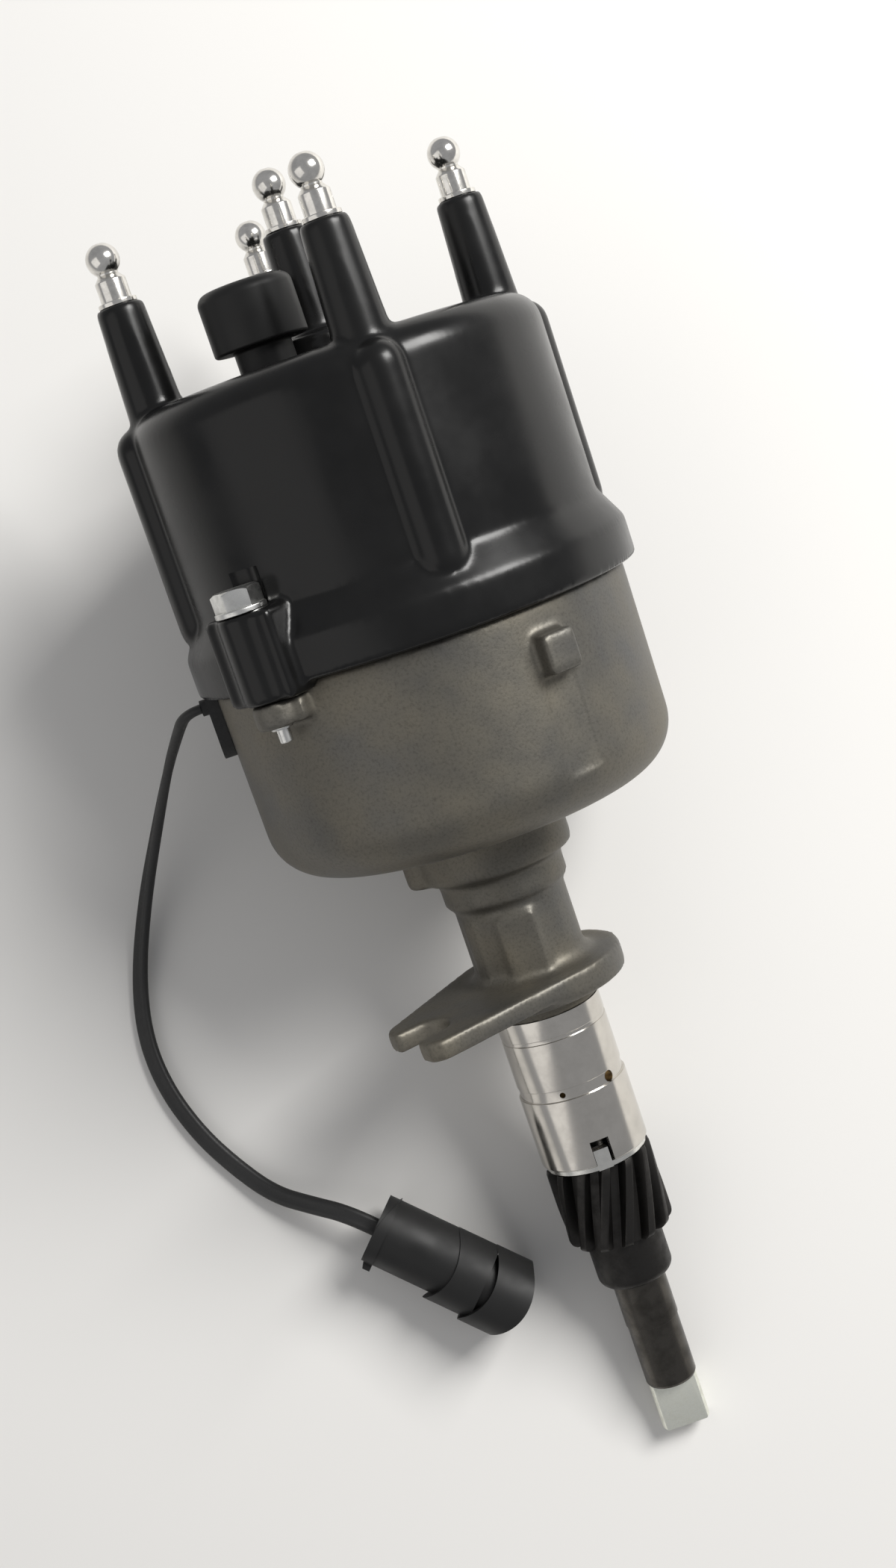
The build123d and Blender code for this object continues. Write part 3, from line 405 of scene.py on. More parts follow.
finishes = {
    "cast_alloy": castAlloy(),
    "machinedAlloy": turnedMetal("machinedAlloy", (0.68, 0.65, 0.6), 0.14, 0.1, 0.002, 0.12),
    "bearing_bronze": mottledMetal("bearingBronze", (0.45, 0.31, 0.15), 0.45),
    "shaft_steel": turnedMetal("shaftSteel", (0.33, 0.32, 0.31), 0.24, 0.12, 0.003, 0.3),
    "tailSteel": turnedMetal("tailSteel", (0.095, 0.088, 0.078), 0.24, 0.14, 0.002, 0.45),
    "wornSteel": mottledMetal("wornSteel", (0.92, 0.93, 0.84), 0.4, 1.6, 0.2),
    "bright_steel": mottledMetal("brightSteel", (0.8, 0.79, 0.75), 0.2, 2.0, 0.15),
    "black_oxide": mottledMetal("blackOxide", (0.045, 0.043, 0.041), 0.38, 2.4, 0.25),
    "spring_steel": mottledMetal("springSteel", (0.34, 0.33, 0.32), 0.32),
    "zinc_plate": mottledMetal("zincPlate", (0.74, 0.74, 0.72), 0.24, 1.6, 0.2),
    "cap_moulding": mouldedBlack("capMoulding", 0.0055, 0.24, 1.6, 0.3),
    "hood_plastic": mouldedBlack("hoodPlastic", 0.008, 0.42, 0.7, 0.3),
    "nickel_plate": mottledMetal("nickelPlate", (0.8, 0.78, 0.74), 0.13, 1.8, 0.2),
    "electrode_brass": mottledMetal("electrodeBrass", (0.72, 0.53, 0.26), 0.3),
    "carbon": softRubber("carbon", 0.02, 0.6),
    "rotor_moulding": mouldedBlack("rotorMoulding", 0.014, 0.3, 1.0),
    "sensor_moulding": mouldedBlack("sensorMoulding", 0.02, 0.45, 0.6),
    "plate_steel": mottledMetal("plateSteel", (0.58, 0.57, 0.54), 0.32, 3.0, 0.25),
    "seal_rubber": softRubber("sealRubber", 0.012, 0.6),
    "wire_jacket": softRubber("wireJacket", 0.01, 0.5),
    "connector_plastic": mouldedBlack("connectorPlastic", 0.011, 0.5, 0.35, 0.3),
}
for node in frame["record"]["subparts"]:
    made = nodes[node["node"]]
    made.data.materials.clear()
    made.data.materials.append(finishes[node["material_slot"]])
print("finishes made")


# lead: a flat twin cable, edge up at the outlet and flat on the surface lower down
leadSet = {
    "width": 3.8, "thickness": 1.95, "waist": 0.72,
    "points": [
        (-45.2, 37.264, 47.313, 80),
        (-48.6, 37.264, 47.313, 80),
        (-52.01, 35.25, 40.0, 80),
        (-57.3, 30.65, 30.0, 75),
        (-65.1, 21.34, 17.0, 60),
        (-73.83, 8.98, 6.0, 45),
        (-80.47, -5.09, 2.2, 35),
        (-83.53, -18.06, 2.0, 25),
        (-82.85, -30.03, 2.0, 15),
        (-78.95, -41.86, 2.0, 10),
        (-73.37, -51.55, 2.0, 5),
        (-67.35, -59.23, 3.2, 0),
        (-59.99, -63.7, 6.2, 0),
        (-53.286, -67.484, 8.65, 0),
        (-48.571, -71.959, 8.65, 0),
    ],
}


def makeLead():
    coreRadius = leadSet["thickness"] / 2
    reach = leadSet["width"] / 2 - coreRadius
    waist = leadSet["waist"] * coreRadius
    outline = []
    for side in (1, -1):
        for step in range(11):
            turn = radians(-100 + 200 * step / 10)
            outline.append((side * (reach + coreRadius * cos(turn)), side * coreRadius * sin(turn)))
        outline.append((0, side * waist))
    section = bpy.data.curves.new("leadSection", "CURVE")
    ring = section.splines.new("POLY")
    ring.points.add(len(outline) - 1)
    for point, (x, y) in zip(ring.points, outline):
        point.co = (x * mm, y * mm, 0, 1)
    ring.use_cyclic_u = True
    sectionObject = bpy.data.objects.new("leadSection", section)

    line = bpy.data.curves.new("lead", "CURVE")
    line.dimensions = "3D"
    line.twist_mode = "Z_UP"
    line.resolution_u = 12
    spline = line.splines.new("NURBS")
    spline.points.add(len(leadSet["points"]) - 1)
    for point, (x, y, z, twist) in zip(spline.points, leadSet["points"]):
        point.co = (x * mm, y * mm, z * mm, 1)
        point.tilt = radians(twist)
    spline.order_u = 3
    spline.use_endpoint_u = True
    line.bevel_mode = "OBJECT"
    line.bevel_object = sectionObject
    line.use_fill_caps = True
    line.materials.append(finishes["wire_jacket"])
    lead = bpy.data.objects.new("twinLead", line)
    bpy.context.collection.objects.link(lead)
    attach(lead, "housing_body")
    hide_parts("lead")


makeLead()
print("lead made")


# cap moulding
capSet = {
    "bandRadius": 44.5, "bandHeight": 7.7, "chamfer": 6.4, "wallRadius": 41.0, "innerRadius": 38.0,
    "edge": 6.0, "skirtInner": 41.8, "registerInner": 39.9, "registerDepth": 2.8,
    "ribRadius": 4.75, "ribReach": 44.0, "ribRise": 8.6, "ribDrop": 1.6,
    "towerTop": 4.55, "towerBase": 5.65, "towerEdge": 0.6, "pedestalRadius": 9.5, "pedestalHeight": 4.5,
    "lugHalf": 8.0, "lugFace": 47.4, "lugBoss": 5.0, "nippleRadius": 4.0, "nippleHeight": 9.5,
    "ventAngle": -38, "ventOffset": 17.4, "ventHole": 1.5, "screwHole": 2.8, "screwSeat": 5.15,
    "bossRadius": 5.0, "bossHole": 2.62, "bossDrop": 11.7,
    "brushBoss": 7.0, "brushHole": 2.66, "brushBossDrop": 7.7, "grain": 0.62,
}


def makeCap():
    size = capSet
    shell = bmesh.new()
    bandTop = level["rim"] + size["bandHeight"]
    lathe(shell, [
        (0, level["rim"]), (size["bandRadius"], level["rim"], 0.7), (size["bandRadius"], bandTop, 1.2),
        (size["wallRadius"], bandTop + size["chamfer"], 1.6),
        (size["wallRadius"], level["capTop"], size["edge"]), (0, level["capTop"]),
    ], steps=180)
    towerFoot = level["capTop"] - size["edge"]
    for angle in towerAngles:
        lathe(shell, [
            (0, level["rim"] + size["ribRise"]),
            (size["ribRadius"], level["rim"] + size["ribRise"], size["ribRadius"]),
            (size["ribRadius"], level["capTop"] - size["ribDrop"], size["ribRadius"]),
            (0, level["capTop"] - size["ribDrop"]),
        ], around(angle, size["ribReach"] - size["ribRadius"]), 48)
    for place, top in [(around(angle, towerCircle), level["towerTop"]) for angle in towerAngles] + [
        (Matrix(), level["coilTop"])
    ]:
        lathe(shell, [
            (0, towerFoot), (size["towerBase"], towerFoot),
            (size["towerTop"], top, size["towerEdge"]), (0, top),
        ], place, 48)
    lathe(shell, [
        (0, level["roof"]), (size["pedestalRadius"], level["roof"]),
        (size["pedestalRadius"], level["capTop"] + size["pedestalHeight"], 1.5),
        (0, level["capTop"] + size["pedestalHeight"]),
    ], steps=72)
    post(shell, size["nippleRadius"], level["roof"], level["capTop"] + size["nippleHeight"],
         around(size["ventAngle"], size["ventOffset"]))
    for angle in screwAngles:
        block(shell, (-size["lugHalf"], -size["lugFace"], level["lugFoot"]),
              (size["lugHalf"], -size["innerRadius"] - 1, level["lugHead"]), around(angle), 1.0)
        post(shell, size["lugBoss"], level["lugFoot"], level["lugHead"], around(angle, screwCircle), edge=0.6)
    cap = toObject("capMoulding", shell)
    melt(cap, size["grain"], 8)

    hollow = bmesh.new()
    lathe(hollow, [
        (0, level["lugFoot"] - 1), (size["skirtInner"], level["lugFoot"] - 1),
        (size["skirtInner"], level["rim"]), (size["registerInner"], level["rim"]),
        (size["registerInner"], level["rim"] + size["registerDepth"]),
        (size["innerRadius"], level["rim"] + size["registerDepth"]),
        (size["innerRadius"], level["roof"], 3.0), (0, level["roof"]),
    ], steps=180)
    cutAway(cap, hollow)
    for angle in screwAngles:
        hole = bmesh.new()
        lathe(hole, [
            (0, level["lugFoot"] - 1), (size["screwHole"], level["lugFoot"] - 1),
            (size["screwHole"], level["lugHead"]), (size["screwSeat"], level["lugHead"]),
            (size["screwSeat"], level["lugHead"] + 7), (0, level["lugHead"] + 7),
        ], around(angle, screwCircle), 48)
        cutAway(cap, hole)
    ventHole = bmesh.new()
    post(ventHole, size["ventHole"], level["roof"] - 1, level["capTop"] + 11,
         around(size["ventAngle"], size["ventOffset"]), 24)
    cutAway(cap, ventHole)

    # the bosses that hold the electrodes and the brush hang under the roof
    bosses = bmesh.new()
    bosses.from_mesh(cap.data)
    for angle in towerAngles:
        lathe(bosses, [
            (size["bossRadius"], level["roof"] + 1), (size["bossHole"], level["roof"] + 1),
            (size["bossHole"], level["roof"] - size["bossDrop"]),
            (size["bossRadius"], level["roof"] - size["bossDrop"], 0.5),
        ], around(angle, towerCircle), 36, hollow=True)
    lathe(bosses, [
        (size["brushBoss"], level["roof"] + 1), (size["brushHole"], level["roof"] + 1),
        (size["brushHole"], level["roof"] - size["brushBossDrop"]),
        (size["brushBoss"], level["roof"] - size["brushBossDrop"], 0.5),
    ], steps=48, hollow=True)
    bosses.to_mesh(cap.data)
    bosses.free()
    settle(cap, "cap_body", finishes["cap_moulding"], ["distributor_cap"], 40)


# heights of the hood are above the cap's roof
hoodSet = {
    "bore": 4.05, "skirt": 5.5, "skirtFoot": 0.1, "radius": 9.0, "foot": 4.7, "top": 16.4, "seat": 9.6,
    "footEdge": 0.6, "topEdge": 2.2,
}


def makeVentHood():
    size = hoodSet
    skirtFoot, foot = level["capTop"] + size["skirtFoot"], level["capTop"] + size["foot"]
    seat, top = level["capTop"] + size["seat"], level["capTop"] + size["top"]
    shell = bmesh.new()
    lathe(shell, [
        (0, seat), (size["bore"], seat), (size["bore"], skirtFoot), (size["skirt"], skirtFoot),
        (size["skirt"], foot, size["footEdge"]), (size["radius"], foot, size["footEdge"]),
        (size["radius"], top, size["topEdge"]), (0, top),
    ], around(capSet["ventAngle"], capSet["ventOffset"]), 96)
    hood = toObject("ventHood", shell)
    settle(hood, "cap_body", finishes["hood_plastic"], ["vent_hood"], 25)


makeCap()
makeVentHood()
print("cap made")


# ball studs: each entry but the ball's is a radius and its height above the tower
studSet = {
    "collar": (3.7, 0.9), "post": (2.95, 4.7), "waist": (2.0, 5.8), "ball": 3.2, "ballCentre": 8.6,
    "flatShare": 0.93, "sunk": 0.02, "ballSteps": 24,
    "plugStem": (2.0, 22.3), "coilStem": (3.0, 27.3),
}


def studOutline(stem, top):
    size = studSet
    stemRadius, stemLength = stem
    collar, collarTop = size["collar"]
    neck, neckTop = size["post"]
    waist, waistTop = size["waist"]
    ball, centre = size["ball"], top + size["ballCentre"]
    outline = [
        (0, top - stemLength), (stemRadius, top - stemLength), (stemRadius, top - size["sunk"]),
        (collar, top - size["sunk"], 0.15), (collar, top + collarTop, 0.2),
        (neck, top + collarTop), (neck, top + neckTop, 0.3), (waist, top + waistTop),
    ]
    start = -acos(waist / ball)
    end = asin(size["flatShare"])
    for step in range(size["ballSteps"] + 1):
        turn = start + (end - start) * step / size["ballSteps"]
        outline.append((ball * cos(turn), centre + ball * sin(turn)))
    return outline + [(0, centre + ball * size["flatShare"])]


def makeStud(name, node, stem, top, place=Matrix()):
    shell = bmesh.new()
    lathe(shell, studOutline(stem, top), place, 64)
    settle(toObject(name, shell), "cap_body", finishes["nickel_plate"], [node])


def makeStuds():
    for number, angle in enumerate(towerAngles, 1):
        makeStud(f"plugStud{number}", f"plug_terminal_{number}", studSet["plugStem"], level["towerTop"],
                 around(angle, towerCircle))
    makeStud("coilStud", "coil_terminal", studSet["coilStem"], level["coilTop"])


makeStuds()
print("studs made")


# cap screws
screwSet = {
    "washer": 4.85, "washerThickness": 1.0, "across": 8.0, "headHeight": 4.5, "turn": 12,
    "crownSide": 4.62, "crownTop": 3.75, "crownDrop": 0.55,
    "radius": 2.5, "shank": 2.3, "length": 24.5, "pitch": 0.8, "threadDepth": 0.4, "threadLength": 12.0,
    "crest": (0.45, 0.55), "pointRadius": 1.25, "pointFoot": 2.0, "pointLength": 2.6,
}


def makeScrew(name, angle):
    size = screwSet
    seat = level["lugHead"]
    head = bmesh.new()
    corner = size["across"] / sqrt(3)
    sides = [(corner * sin(radians(60 * side)), corner * cos(radians(60 * side))) for side in range(6)]
    slab(head, sides, seat + 0.3, seat + size["headHeight"])
    screw = toObject(name, head)
    crown = bmesh.new()
    lathe(crown, [
        (0, seat), (size["washer"], seat), (size["crownSide"], seat + size["headHeight"] - size["crownDrop"]),
        (size["crownTop"], seat + size["headHeight"]), (0, seat + size["headHeight"]),
    ], steps=96)
    keep = screw.modifiers.new("crown", "BOOLEAN")
    keep.operation = "INTERSECT"
    keep.solver = "MANIFOLD"
    crownPiece = toObject("crown", crown)
    keep.object = crownPiece
    applyModifiers(screw)
    bpy.data.objects.remove(crownPiece)
    bevelEdges(screw, 0.12, 2, 25)

    whole = bmesh.new()
    whole.from_mesh(screw.data)
    lathe(whole, [
        (0, seat), (size["washer"], seat, 0.15), (size["washer"], seat + size["washerThickness"], 0.3),
        (0, seat + size["washerThickness"]),
    ], steps=64)
    point = seat - size["length"]
    tip = point + size["pointLength"]
    threads = [
        (0, point), (size["pointRadius"], point, 0.25), (size["pointRadius"], tip), (size["pointFoot"], tip),
    ]
    count = round(size["threadLength"] / size["pitch"])
    for index in range(count):
        foot = tip + 0.3 + index * size["pitch"]
        threads.append((size["radius"] - size["threadDepth"], foot))
        for share in size["crest"]:
            threads.append((size["radius"], foot + share * size["pitch"]))
    threads += [(size["shank"], tip + size["threadLength"] + 0.4), (size["shank"], seat), (0, seat)]
    lathe(whole, threads, steps=48)
    whole.to_mesh(screw.data)
    whole.free()
    place = layDown @ around(angle, screwCircle) @ Matrix.Rotation(radians(size["turn"]), 4, "Z")
    settle(screw, "cap_body", finishes["zinc_plate"], [cadScrews[name]], 28, place)


cadScrews = {"capScrewLeft": "cap_screw_1", "capScrewRight": "cap_screw_2"}
for screwName, screwAngle in zip(cadScrews, screwAngles):
    makeScrew(screwName, screwAngle)
print("screws made")


# housing casting
castSet = {
    "bore": 7.66, "collar": 11.2, "collarFoot": -3.2, "flangeRadius": 18.0, "flangeEdge": 0.9,
    "neck": 11.4, "step": 12.7, "ring": 15.6,
    "bowlLow": 41.15, "bowlRim": 41.5, "bowlCorner": 10.0, "bowlInner": 38.0, "innerCorner": 6.5,
    "register": 39.6, "registerInner": 37.0, "registerHeight": 2.5, "bearingBore": 11.4,
    "forkAngle": -66, "forkOffset": 8.9, "forkReach": 31.0, "forkThickness": 4.0, "forkEdge": 1.3,
    "prong": 3.3, "slotWidth": 9.2, "slotRoot": 25.0,
    "widePad": (-3, 8.3), "narrowPad": (-56, 4.0), "padProud": 0.5, "lobe": (4.3, 14.2),
    "earWidth": 12.0, "earBoss": 4.4, "earHeight": 4.7, "threadHole": 2.54, "threadDepth": 12.0,
    "blockAngle": 30, "blockHalf": 3.5, "blockFace": 45.5, "blockTop": 72.2, "blockFoot": 64.7,
    "recessHalf": 4.0, "recessFace": 40.65, "recessFoot": 45.7,
    "outletAngle": -90, "outletHalf": 3.2, "outletDepth": 11.3,
    "plateLevel": 55.6, "plateCircle": 31.0, "plateBoss": 4.0, "plateAngles": (-30, 90, 210), "grain": 0.6,
}


def makeFlange():
    size = castSet
    mesh = bmesh.new()
    spread = size["slotWidth"] / 2 + size["prong"]
    circles = [(0, 0, size["flangeRadius"])] + [
        (size["forkOffset"] + side * spread, -size["forkReach"], size["prong"]) for side in (-1, 1)
    ]
    for x, y, radius in circles:
        for step in range(96):
            turn = 2 * pi * step / 96
            for height in (level["flange"] - size["forkThickness"], level["flange"]):
                mesh.verts.new((x + radius * sin(turn), y - radius * cos(turn), height))
    hull = bmesh.ops.convex_hull(mesh, input=mesh.verts)
    bmesh.ops.delete(mesh, geom=hull["geom_interior"], context="VERTS")
    flange = toObject("flange", mesh)
    slot = bmesh.new()
    root = size["slotRoot"] + size["slotWidth"] / 2
    half = size["slotWidth"] / 2
    outline = [(size["forkOffset"] + half, -60), (size["forkOffset"] - half, -60)]
    for step in range(25):
        turn = pi * step / 24
        outline.append((size["forkOffset"] - half * cos(turn), -root + half * sin(turn)))
    slab(slot, outline, -5, 12)
    cutAway(flange, slot)
    bevelEdges(flange, size["forkEdge"], 4, 50)
    return flange


def makeHousing():
    size = castSet
    flange = makeFlange()
    casting = bmesh.new()
    casting.from_mesh(flange.data)
    bpy.data.objects.remove(flange)
    bmesh.ops.transform(casting, matrix=around(size["forkAngle"]), verts=casting.verts)
    post(casting, size["flangeRadius"], level["seat"], level["flange"], edge=size["flangeEdge"], steps=120)
    post(casting, size["collar"], size["collarFoot"], level["seat"] + 1, edge=0.4, steps=120)
    foot = level["flange"] / 2
    lathe(casting, [
        (0, foot), (size["neck"] + 5, foot), (size["neck"] + 5, level["flange"]),
        (size["neck"], level["flange"], 2.5), (size["neck"], level["neck"], 0.5),
        (size["step"], level["neck"], 0.6), (size["step"], level["collar"], 1.0),
        (size["ring"], level["collar"], 1.6), (size["ring"], level["ring"], 1.0),
        (size["bowlLow"], level["bowl"], size["bowlCorner"]), (size["bowlRim"], level["rim"], 0.6),
        (0, level["rim"]),
    ], steps=180)
    lathe(casting, [
        (size["registerInner"], level["rim"] - 1), (size["register"], level["rim"] - 1),
        (size["register"], level["rim"] + size["registerHeight"], 0.3),
        (size["registerInner"], level["rim"] + size["registerHeight"]),
    ], steps=180, hollow=True)
    for angle, width in (size["widePad"], size["narrowPad"]):
        block(casting, (-width / 2, -size["neck"] - size["padProud"], level["flange"] + 1),
              (width / 2, -width / 2, level["neck"] - 2.5), around(angle), 0.3)
    post(casting, size["lobe"][0], level["collar"], level["ring"] + 0.6,
         around(size["outletAngle"], size["lobe"][1]), edge=0.6)
    for angle in screwAngles:
        block(casting, (-size["earWidth"] / 2, -screwCircle, level["lugFoot"] - size["earHeight"]),
              (size["earWidth"] / 2, -size["bowlInner"] - 1, level["lugFoot"] - 0.05), around(angle), 0.6)
        post(casting, size["earBoss"], level["lugFoot"] - size["earHeight"], level["lugFoot"] - 0.05,
             around(angle, screwCircle), edge=0.5)
    block(casting, (-size["blockHalf"], -size["blockFace"], size["blockFoot"]),
          (size["blockHalf"], -size["bowlInner"] - 1, size["blockTop"]), around(size["blockAngle"]), 0.5)
    housing = toObject("castHousing", casting)
    recess = bmesh.new()
    block(recess, (-size["recessHalf"], -60, size["recessFoot"]),
          (size["recessHalf"], -size["recessFace"], size["blockFoot"] + 0.02),
          around(size["blockAngle"]), 0.25)
    melt(housing, size["grain"], 2)
    cutAway(housing, recess)
    melt(housing, size["grain"], 3)

    hollow = bmesh.new()
    lathe(hollow, [
        (0, level["bearingBoss"]), (size["bearingBore"], level["bearingBoss"], 0.5),
        (size["bearingBore"], level["bowlFloor"], 0.8),
        (size["bowlInner"], level["bowlFloor"], size["innerCorner"]), (size["bowlInner"], level["rim"] + 4),
        (0, level["rim"] + 4),
    ], steps=180)
    cutAway(housing, hollow)
    bore = bmesh.new()
    post(bore, size["bore"], size["collarFoot"] - 1, level["bearingBoss"] + 2, steps=72)
    cutAway(housing, bore)
    outlet = bmesh.new()
    block(outlet, (-size["outletHalf"], -60, level["rim"] - size["outletDepth"]),
          (size["outletHalf"], -36, level["rim"] + 9), around(size["outletAngle"]))
    cutAway(housing, outlet)
    for angle in screwAngles:
        hole = bmesh.new()
        post(hole, size["threadHole"], level["lugFoot"] - size["threadDepth"], level["lugFoot"] + 4,
             around(angle, screwCircle), 32)
        cutAway(housing, hole)

    bosses = bmesh.new()
    bosses.from_mesh(housing.data)
    for angle in size["plateAngles"]:
        post(bosses, size["plateBoss"], level["bowlFloor"] - 1, size["plateLevel"],
             around(angle, size["plateCircle"]), 32)
    bosses.to_mesh(housing.data)
    bosses.free()
    settle(housing, "housing_body", finishes["cast_alloy"], ["housing"], 40)


# heights of the land and its groove are above the shank's end
shankSet = {
    "bore": 7.66, "radius": 11.2, "body": 10.95, "groove": 10.75, "land": 15.0, "landGroove": 17.3,
    "fineGroove": (-8.0, -7.2), "top": -3.1, "edge": 0.1,
    "holes": ((1.15, 42), (0.6, -15)), "notchAngle": 6, "notchHalf": 1.95, "notchHeight": 5.3,
}


def makeShank():
    size = shankSet
    end, edge, groove, body = level["shankEnd"], size["edge"], size["groove"], size["body"]
    land, grooveTop = end + size["land"], end + size["landGroove"]
    fineFoot, fineTop = size["fineGroove"]
    shank = bmesh.new()
    lathe(shank, [
        (size["bore"], end), (size["radius"], end, 0.4), (size["radius"], land, edge), (groove, land, edge),
        (groove, grooveTop, edge), (body, grooveTop, edge), (body, fineFoot, edge), (groove, fineFoot, edge),
        (groove, fineTop, edge), (body, fineTop, edge), (body, size["top"]), (size["bore"], size["top"]),
    ], steps=192, hollow=True)
    piece = toObject("machinedShank", shank)
    for radius, angle in size["holes"]:
        hole = bmesh.new()
        rod(hole, radius, 5, 20, around(angle, 0, (land + grooveTop) / 2))
        cutAway(piece, hole)
    notch = bmesh.new()
    block(notch, (-size["notchHalf"], -20, end - 1), (size["notchHalf"], -4, end + size["notchHeight"]),
          around(size["notchAngle"]))
    cutAway(piece, notch)
    settle(piece, "housing_body", finishes["machinedAlloy"], ["housing"], 25)


makeHousing()
makeShank()
print("housing made")


# drive gear: helical teeth that run up to the right, over a plain hub
gearSet = {
    "tip": 11.1, "root": 8.8, "teeth": 13, "twist": 31.0, "tipShare": 0.3, "rootShare": 0.6, "corner": 1.6,
    "hub": 7.9, "hubCorner": 2.0, "bore": 5.62, "edge": 0.25, "steps": 36, "perTooth": 24,
}


def toothRadius(share):
    # share of one tooth's pitch off its middle, 0 to 0.5, with rounded tip and root
    size = gearSet
    tip, root = size["tipShare"] / 2, size["rootShare"] / 2
    way = min(1, max(0, (share - tip) / (root - tip)))
    return size["tip"] + (size["root"] - size["tip"]) * way * way * (3 - 2 * way)


def makeGear():
    size = gearSet
    foot, head = level["gearFoot"], level["gearHead"]
    count = size["teeth"] * size["perTooth"]
    mesh = bmesh.new()
    rings = []
    heights = []
    for step in range(size["steps"] + 1):
        share = step / size["steps"]
        heights.append(foot + (head - foot) * (share ** 1.6))
    for height in heights:
        above = height - foot
        limit = size["tip"]
        if above < size["corner"]:
            limit -= size["corner"] - sqrt(max(0, size["corner"] ** 2 - (size["corner"] - above) ** 2))
        if head - height < size["edge"]:
            limit -= size["edge"] - (head - height)
        twist = radians(size["twist"]) * above / (head - foot)
        ring = []
        for index in range(count):
            share = (index % size["perTooth"]) / size["perTooth"]
            radius = min(limit, toothRadius(min(share, 1 - share)))
            turn = 2 * pi * index / count + twist
            ring.append(mesh.verts.new((radius * sin(turn), -radius * cos(turn), height)))
        rings.append(ring)
    for low, high in zip(rings, rings[1:]):
        for index in range(count):
            after = (index + 1) % count
            mesh.faces.new((low[index], low[after], high[after], high[index]))
    for ring, height, flip in ((rings[0], foot, True), (rings[-1], head, False)):
        inner = []
        for index in range(count):
            turn = 2 * pi * index / count
            inner.append(mesh.verts.new((size["bore"] * sin(turn), -size["bore"] * cos(turn), height)))
        for index in range(count):
            after = (index + 1) % count
            mesh.faces.new((ring[index], ring[after], inner[after], inner[index]))
        if flip:
            lowBore = inner
        else:
            for index in range(count):
                after = (index + 1) % count
                mesh.faces.new((lowBore[index], lowBore[after], inner[after], inner[index]))
    lathe(mesh, [
        (size["bore"], level["hub"]), (size["hub"], level["hub"], size["hubCorner"]),
        (size["hub"], foot + 1), (size["bore"], foot + 1),
    ], steps=96, hollow=True)
    gear = toObject("helicalGear", mesh)
    settle(gear, "shaft_body", finishes["black_oxide"], ["drive_gear"], 32)


# shaft, its dark tail and the worn tang
shaftSet = {
    "radius": 5.6, "tail": 5.4, "tang": 5.1, "tangHalf": 2.5, "tangEdge": 0.25,
    "overlap": 0.02, "hubDepth": 4.0, "rotorAngle": 11, "rotorFlat": 4.4, "rotorFlatFoot": 90.1,
    "groove": 4.7, "grooveFoot": 55.6, "grooveTop": 56.6,
}


def makeShaft():
    size = shaftSet
    tail, step, tang, end = level["tail"], level["step"], level["tang"], level["shaftTop"]
    radius, tailRadius, tangRadius = size["radius"], size["tail"], size["tang"]
    hub = level["hub"] + size["hubDepth"]
    shaft = bmesh.new()
    lathe(shaft, [(0, hub), (radius, hub), (radius, end), (0, end)], steps=72)
    main = toObject("shaftMain", shaft)
    flat = bmesh.new()
    block(flat, (-12, -12, size["rotorFlatFoot"]), (12, -size["rotorFlat"], end + 1),
          around(size["rotorAngle"]))
    cutAway(main, flat)
    groove = bmesh.new()
    lathe(groove, [
        (size["groove"], size["grooveFoot"]), (7, size["grooveFoot"]),
        (7, size["grooveTop"]), (size["groove"], size["grooveTop"]),
    ], steps=72, hollow=True)
    cutAway(main, groove)
    settle(main, "shaft_body", finishes["shaft_steel"], ["shaft"], 30)

    dark = bmesh.new()
    lathe(dark, [
        (0, tail), (tangRadius, tail, 0.2), (tailRadius, tail + 0.6, 0.1), (tailRadius, step, 0.1),
        (radius, step, 0.2), (radius, hub + size["overlap"]), (0, hub + size["overlap"]),
    ], steps=96)
    settle(toObject("shaftTail", dark), "shaft_body", finishes["tailSteel"], ["shaft"], 35)

    top = tail + size["overlap"]
    worn = bmesh.new()
    lathe(worn, [(0, tang), (tangRadius, tang, 0.4), (tangRadius, top), (0, top)], steps=96)
    tangPiece = toObject("shaftTang", worn)
    for side in (-1, 1):
        cut = bmesh.new()
        low, high = sorted((side * size["tangHalf"], side * 12))
        block(cut, (-12, low, tang - 1), (12, high, tail + 1))
        cutAway(tangPiece, cut)
    bevelEdges(tangPiece, size["tangEdge"], 3, 40)
    settle(tangPiece, "shaft_body", finishes["wornSteel"], ["shaft"], 35)


makeGear()
makeShaft()
print("drive made")


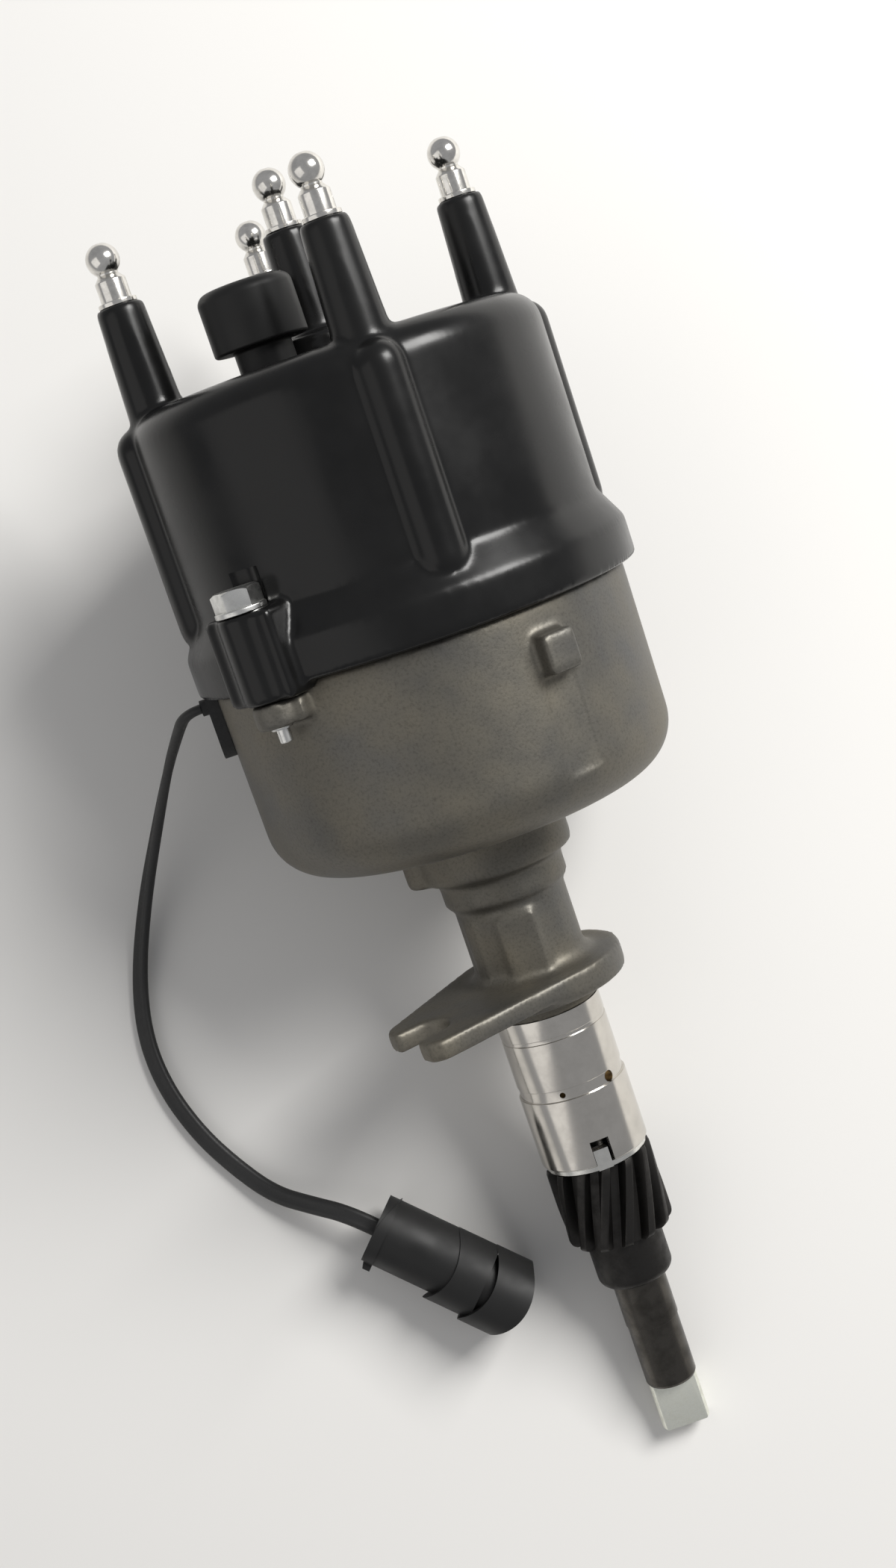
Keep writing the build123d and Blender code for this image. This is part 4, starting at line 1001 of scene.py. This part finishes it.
# small CAD pieces that only need their edges softened
softEdges = {
    "connector_shell": 0.8, "lead_grommet": 0.9, "thrust_washer": 0.12, "rotor_body": 0.35,
    "trigger_sensor": 0.3, "pulse_ring": 0.12, "sensor_plate": 0.12, "retaining_clip": 0.08,
    "rotor_blade": 0.12,
}
for nodeName, width in softEdges.items():
    soften = nodes[nodeName].modifiers.new("softEdge", "BEVEL")
    soften.width = width * mm
    soften.segments = 3
    soften.limit_method = "ANGLE"
    soften.angle_limit = radians(40)
print("edges softened")


# the brush spring gets a mesh of its own
def squashSpring():
    spring = nodes["brush_spring"]
    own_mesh(spring)


squashSpring()


# floor and light
studioSet = {
    "floorSize": 3.0, "floorColour": (0.74, 0.73, 0.71), "aim": (0, 0, 0.03),
    "worldColour": (0.93, 0.94, 0.97), "worldStrength": 0.36,
    "lamps": [
        # name, place, size in x and y, power, colour
        ("windowLight", (0.62, 0.32, 0.7), (0.36, 0.5), 12.0, (1.0, 0.99, 0.97)),
        ("fillLight", (-0.9, -0.2, 0.8), (1.1, 1.1), 2.2, (1.0, 0.97, 0.93)),
    ],
}


def makeWorld():
    world = bpy.data.worlds.new("studio")
    world.use_nodes = True
    background = world.node_tree.nodes["Background"]
    background.inputs["Color"].default_value = (*studioSet["worldColour"], 1)
    background.inputs["Strength"].default_value = studioSet["worldStrength"]
    bpy.context.scene.world = world


def makeStudio():
    half = studioSet["floorSize"] / 2
    mesh = bmesh.new()
    corners = [(-half, -half), (half, -half), (half, half), (-half, half)]
    mesh.faces.new([mesh.verts.new((x, y, -0.0001)) for x, y in corners])
    floor = toObject("floor", mesh)
    finish, shader = newFinish("floorPaper", studioSet["floorColour"], 0.85)
    floor.data.materials.append(finish)
    for name, place, size, power, colour in studioSet["lamps"]:
        data = bpy.data.lights.new(name, "AREA")
        data.shape = "RECTANGLE"
        data.size, data.size_y = size
        data.energy = power
        data.color = colour
        lamp = bpy.data.objects.new(name, data)
        lamp.location = place
        lamp.rotation_mode = "QUATERNION"
        lamp.rotation_quaternion = (Vector(studioSet["aim"]) - Vector(place)).to_track_quat("-Z", "Y")
        bpy.context.collection.objects.link(lamp)


makeWorld()
makeStudio()
bpy.context.scene.view_settings.view_transform = "Standard"
print("studio made")
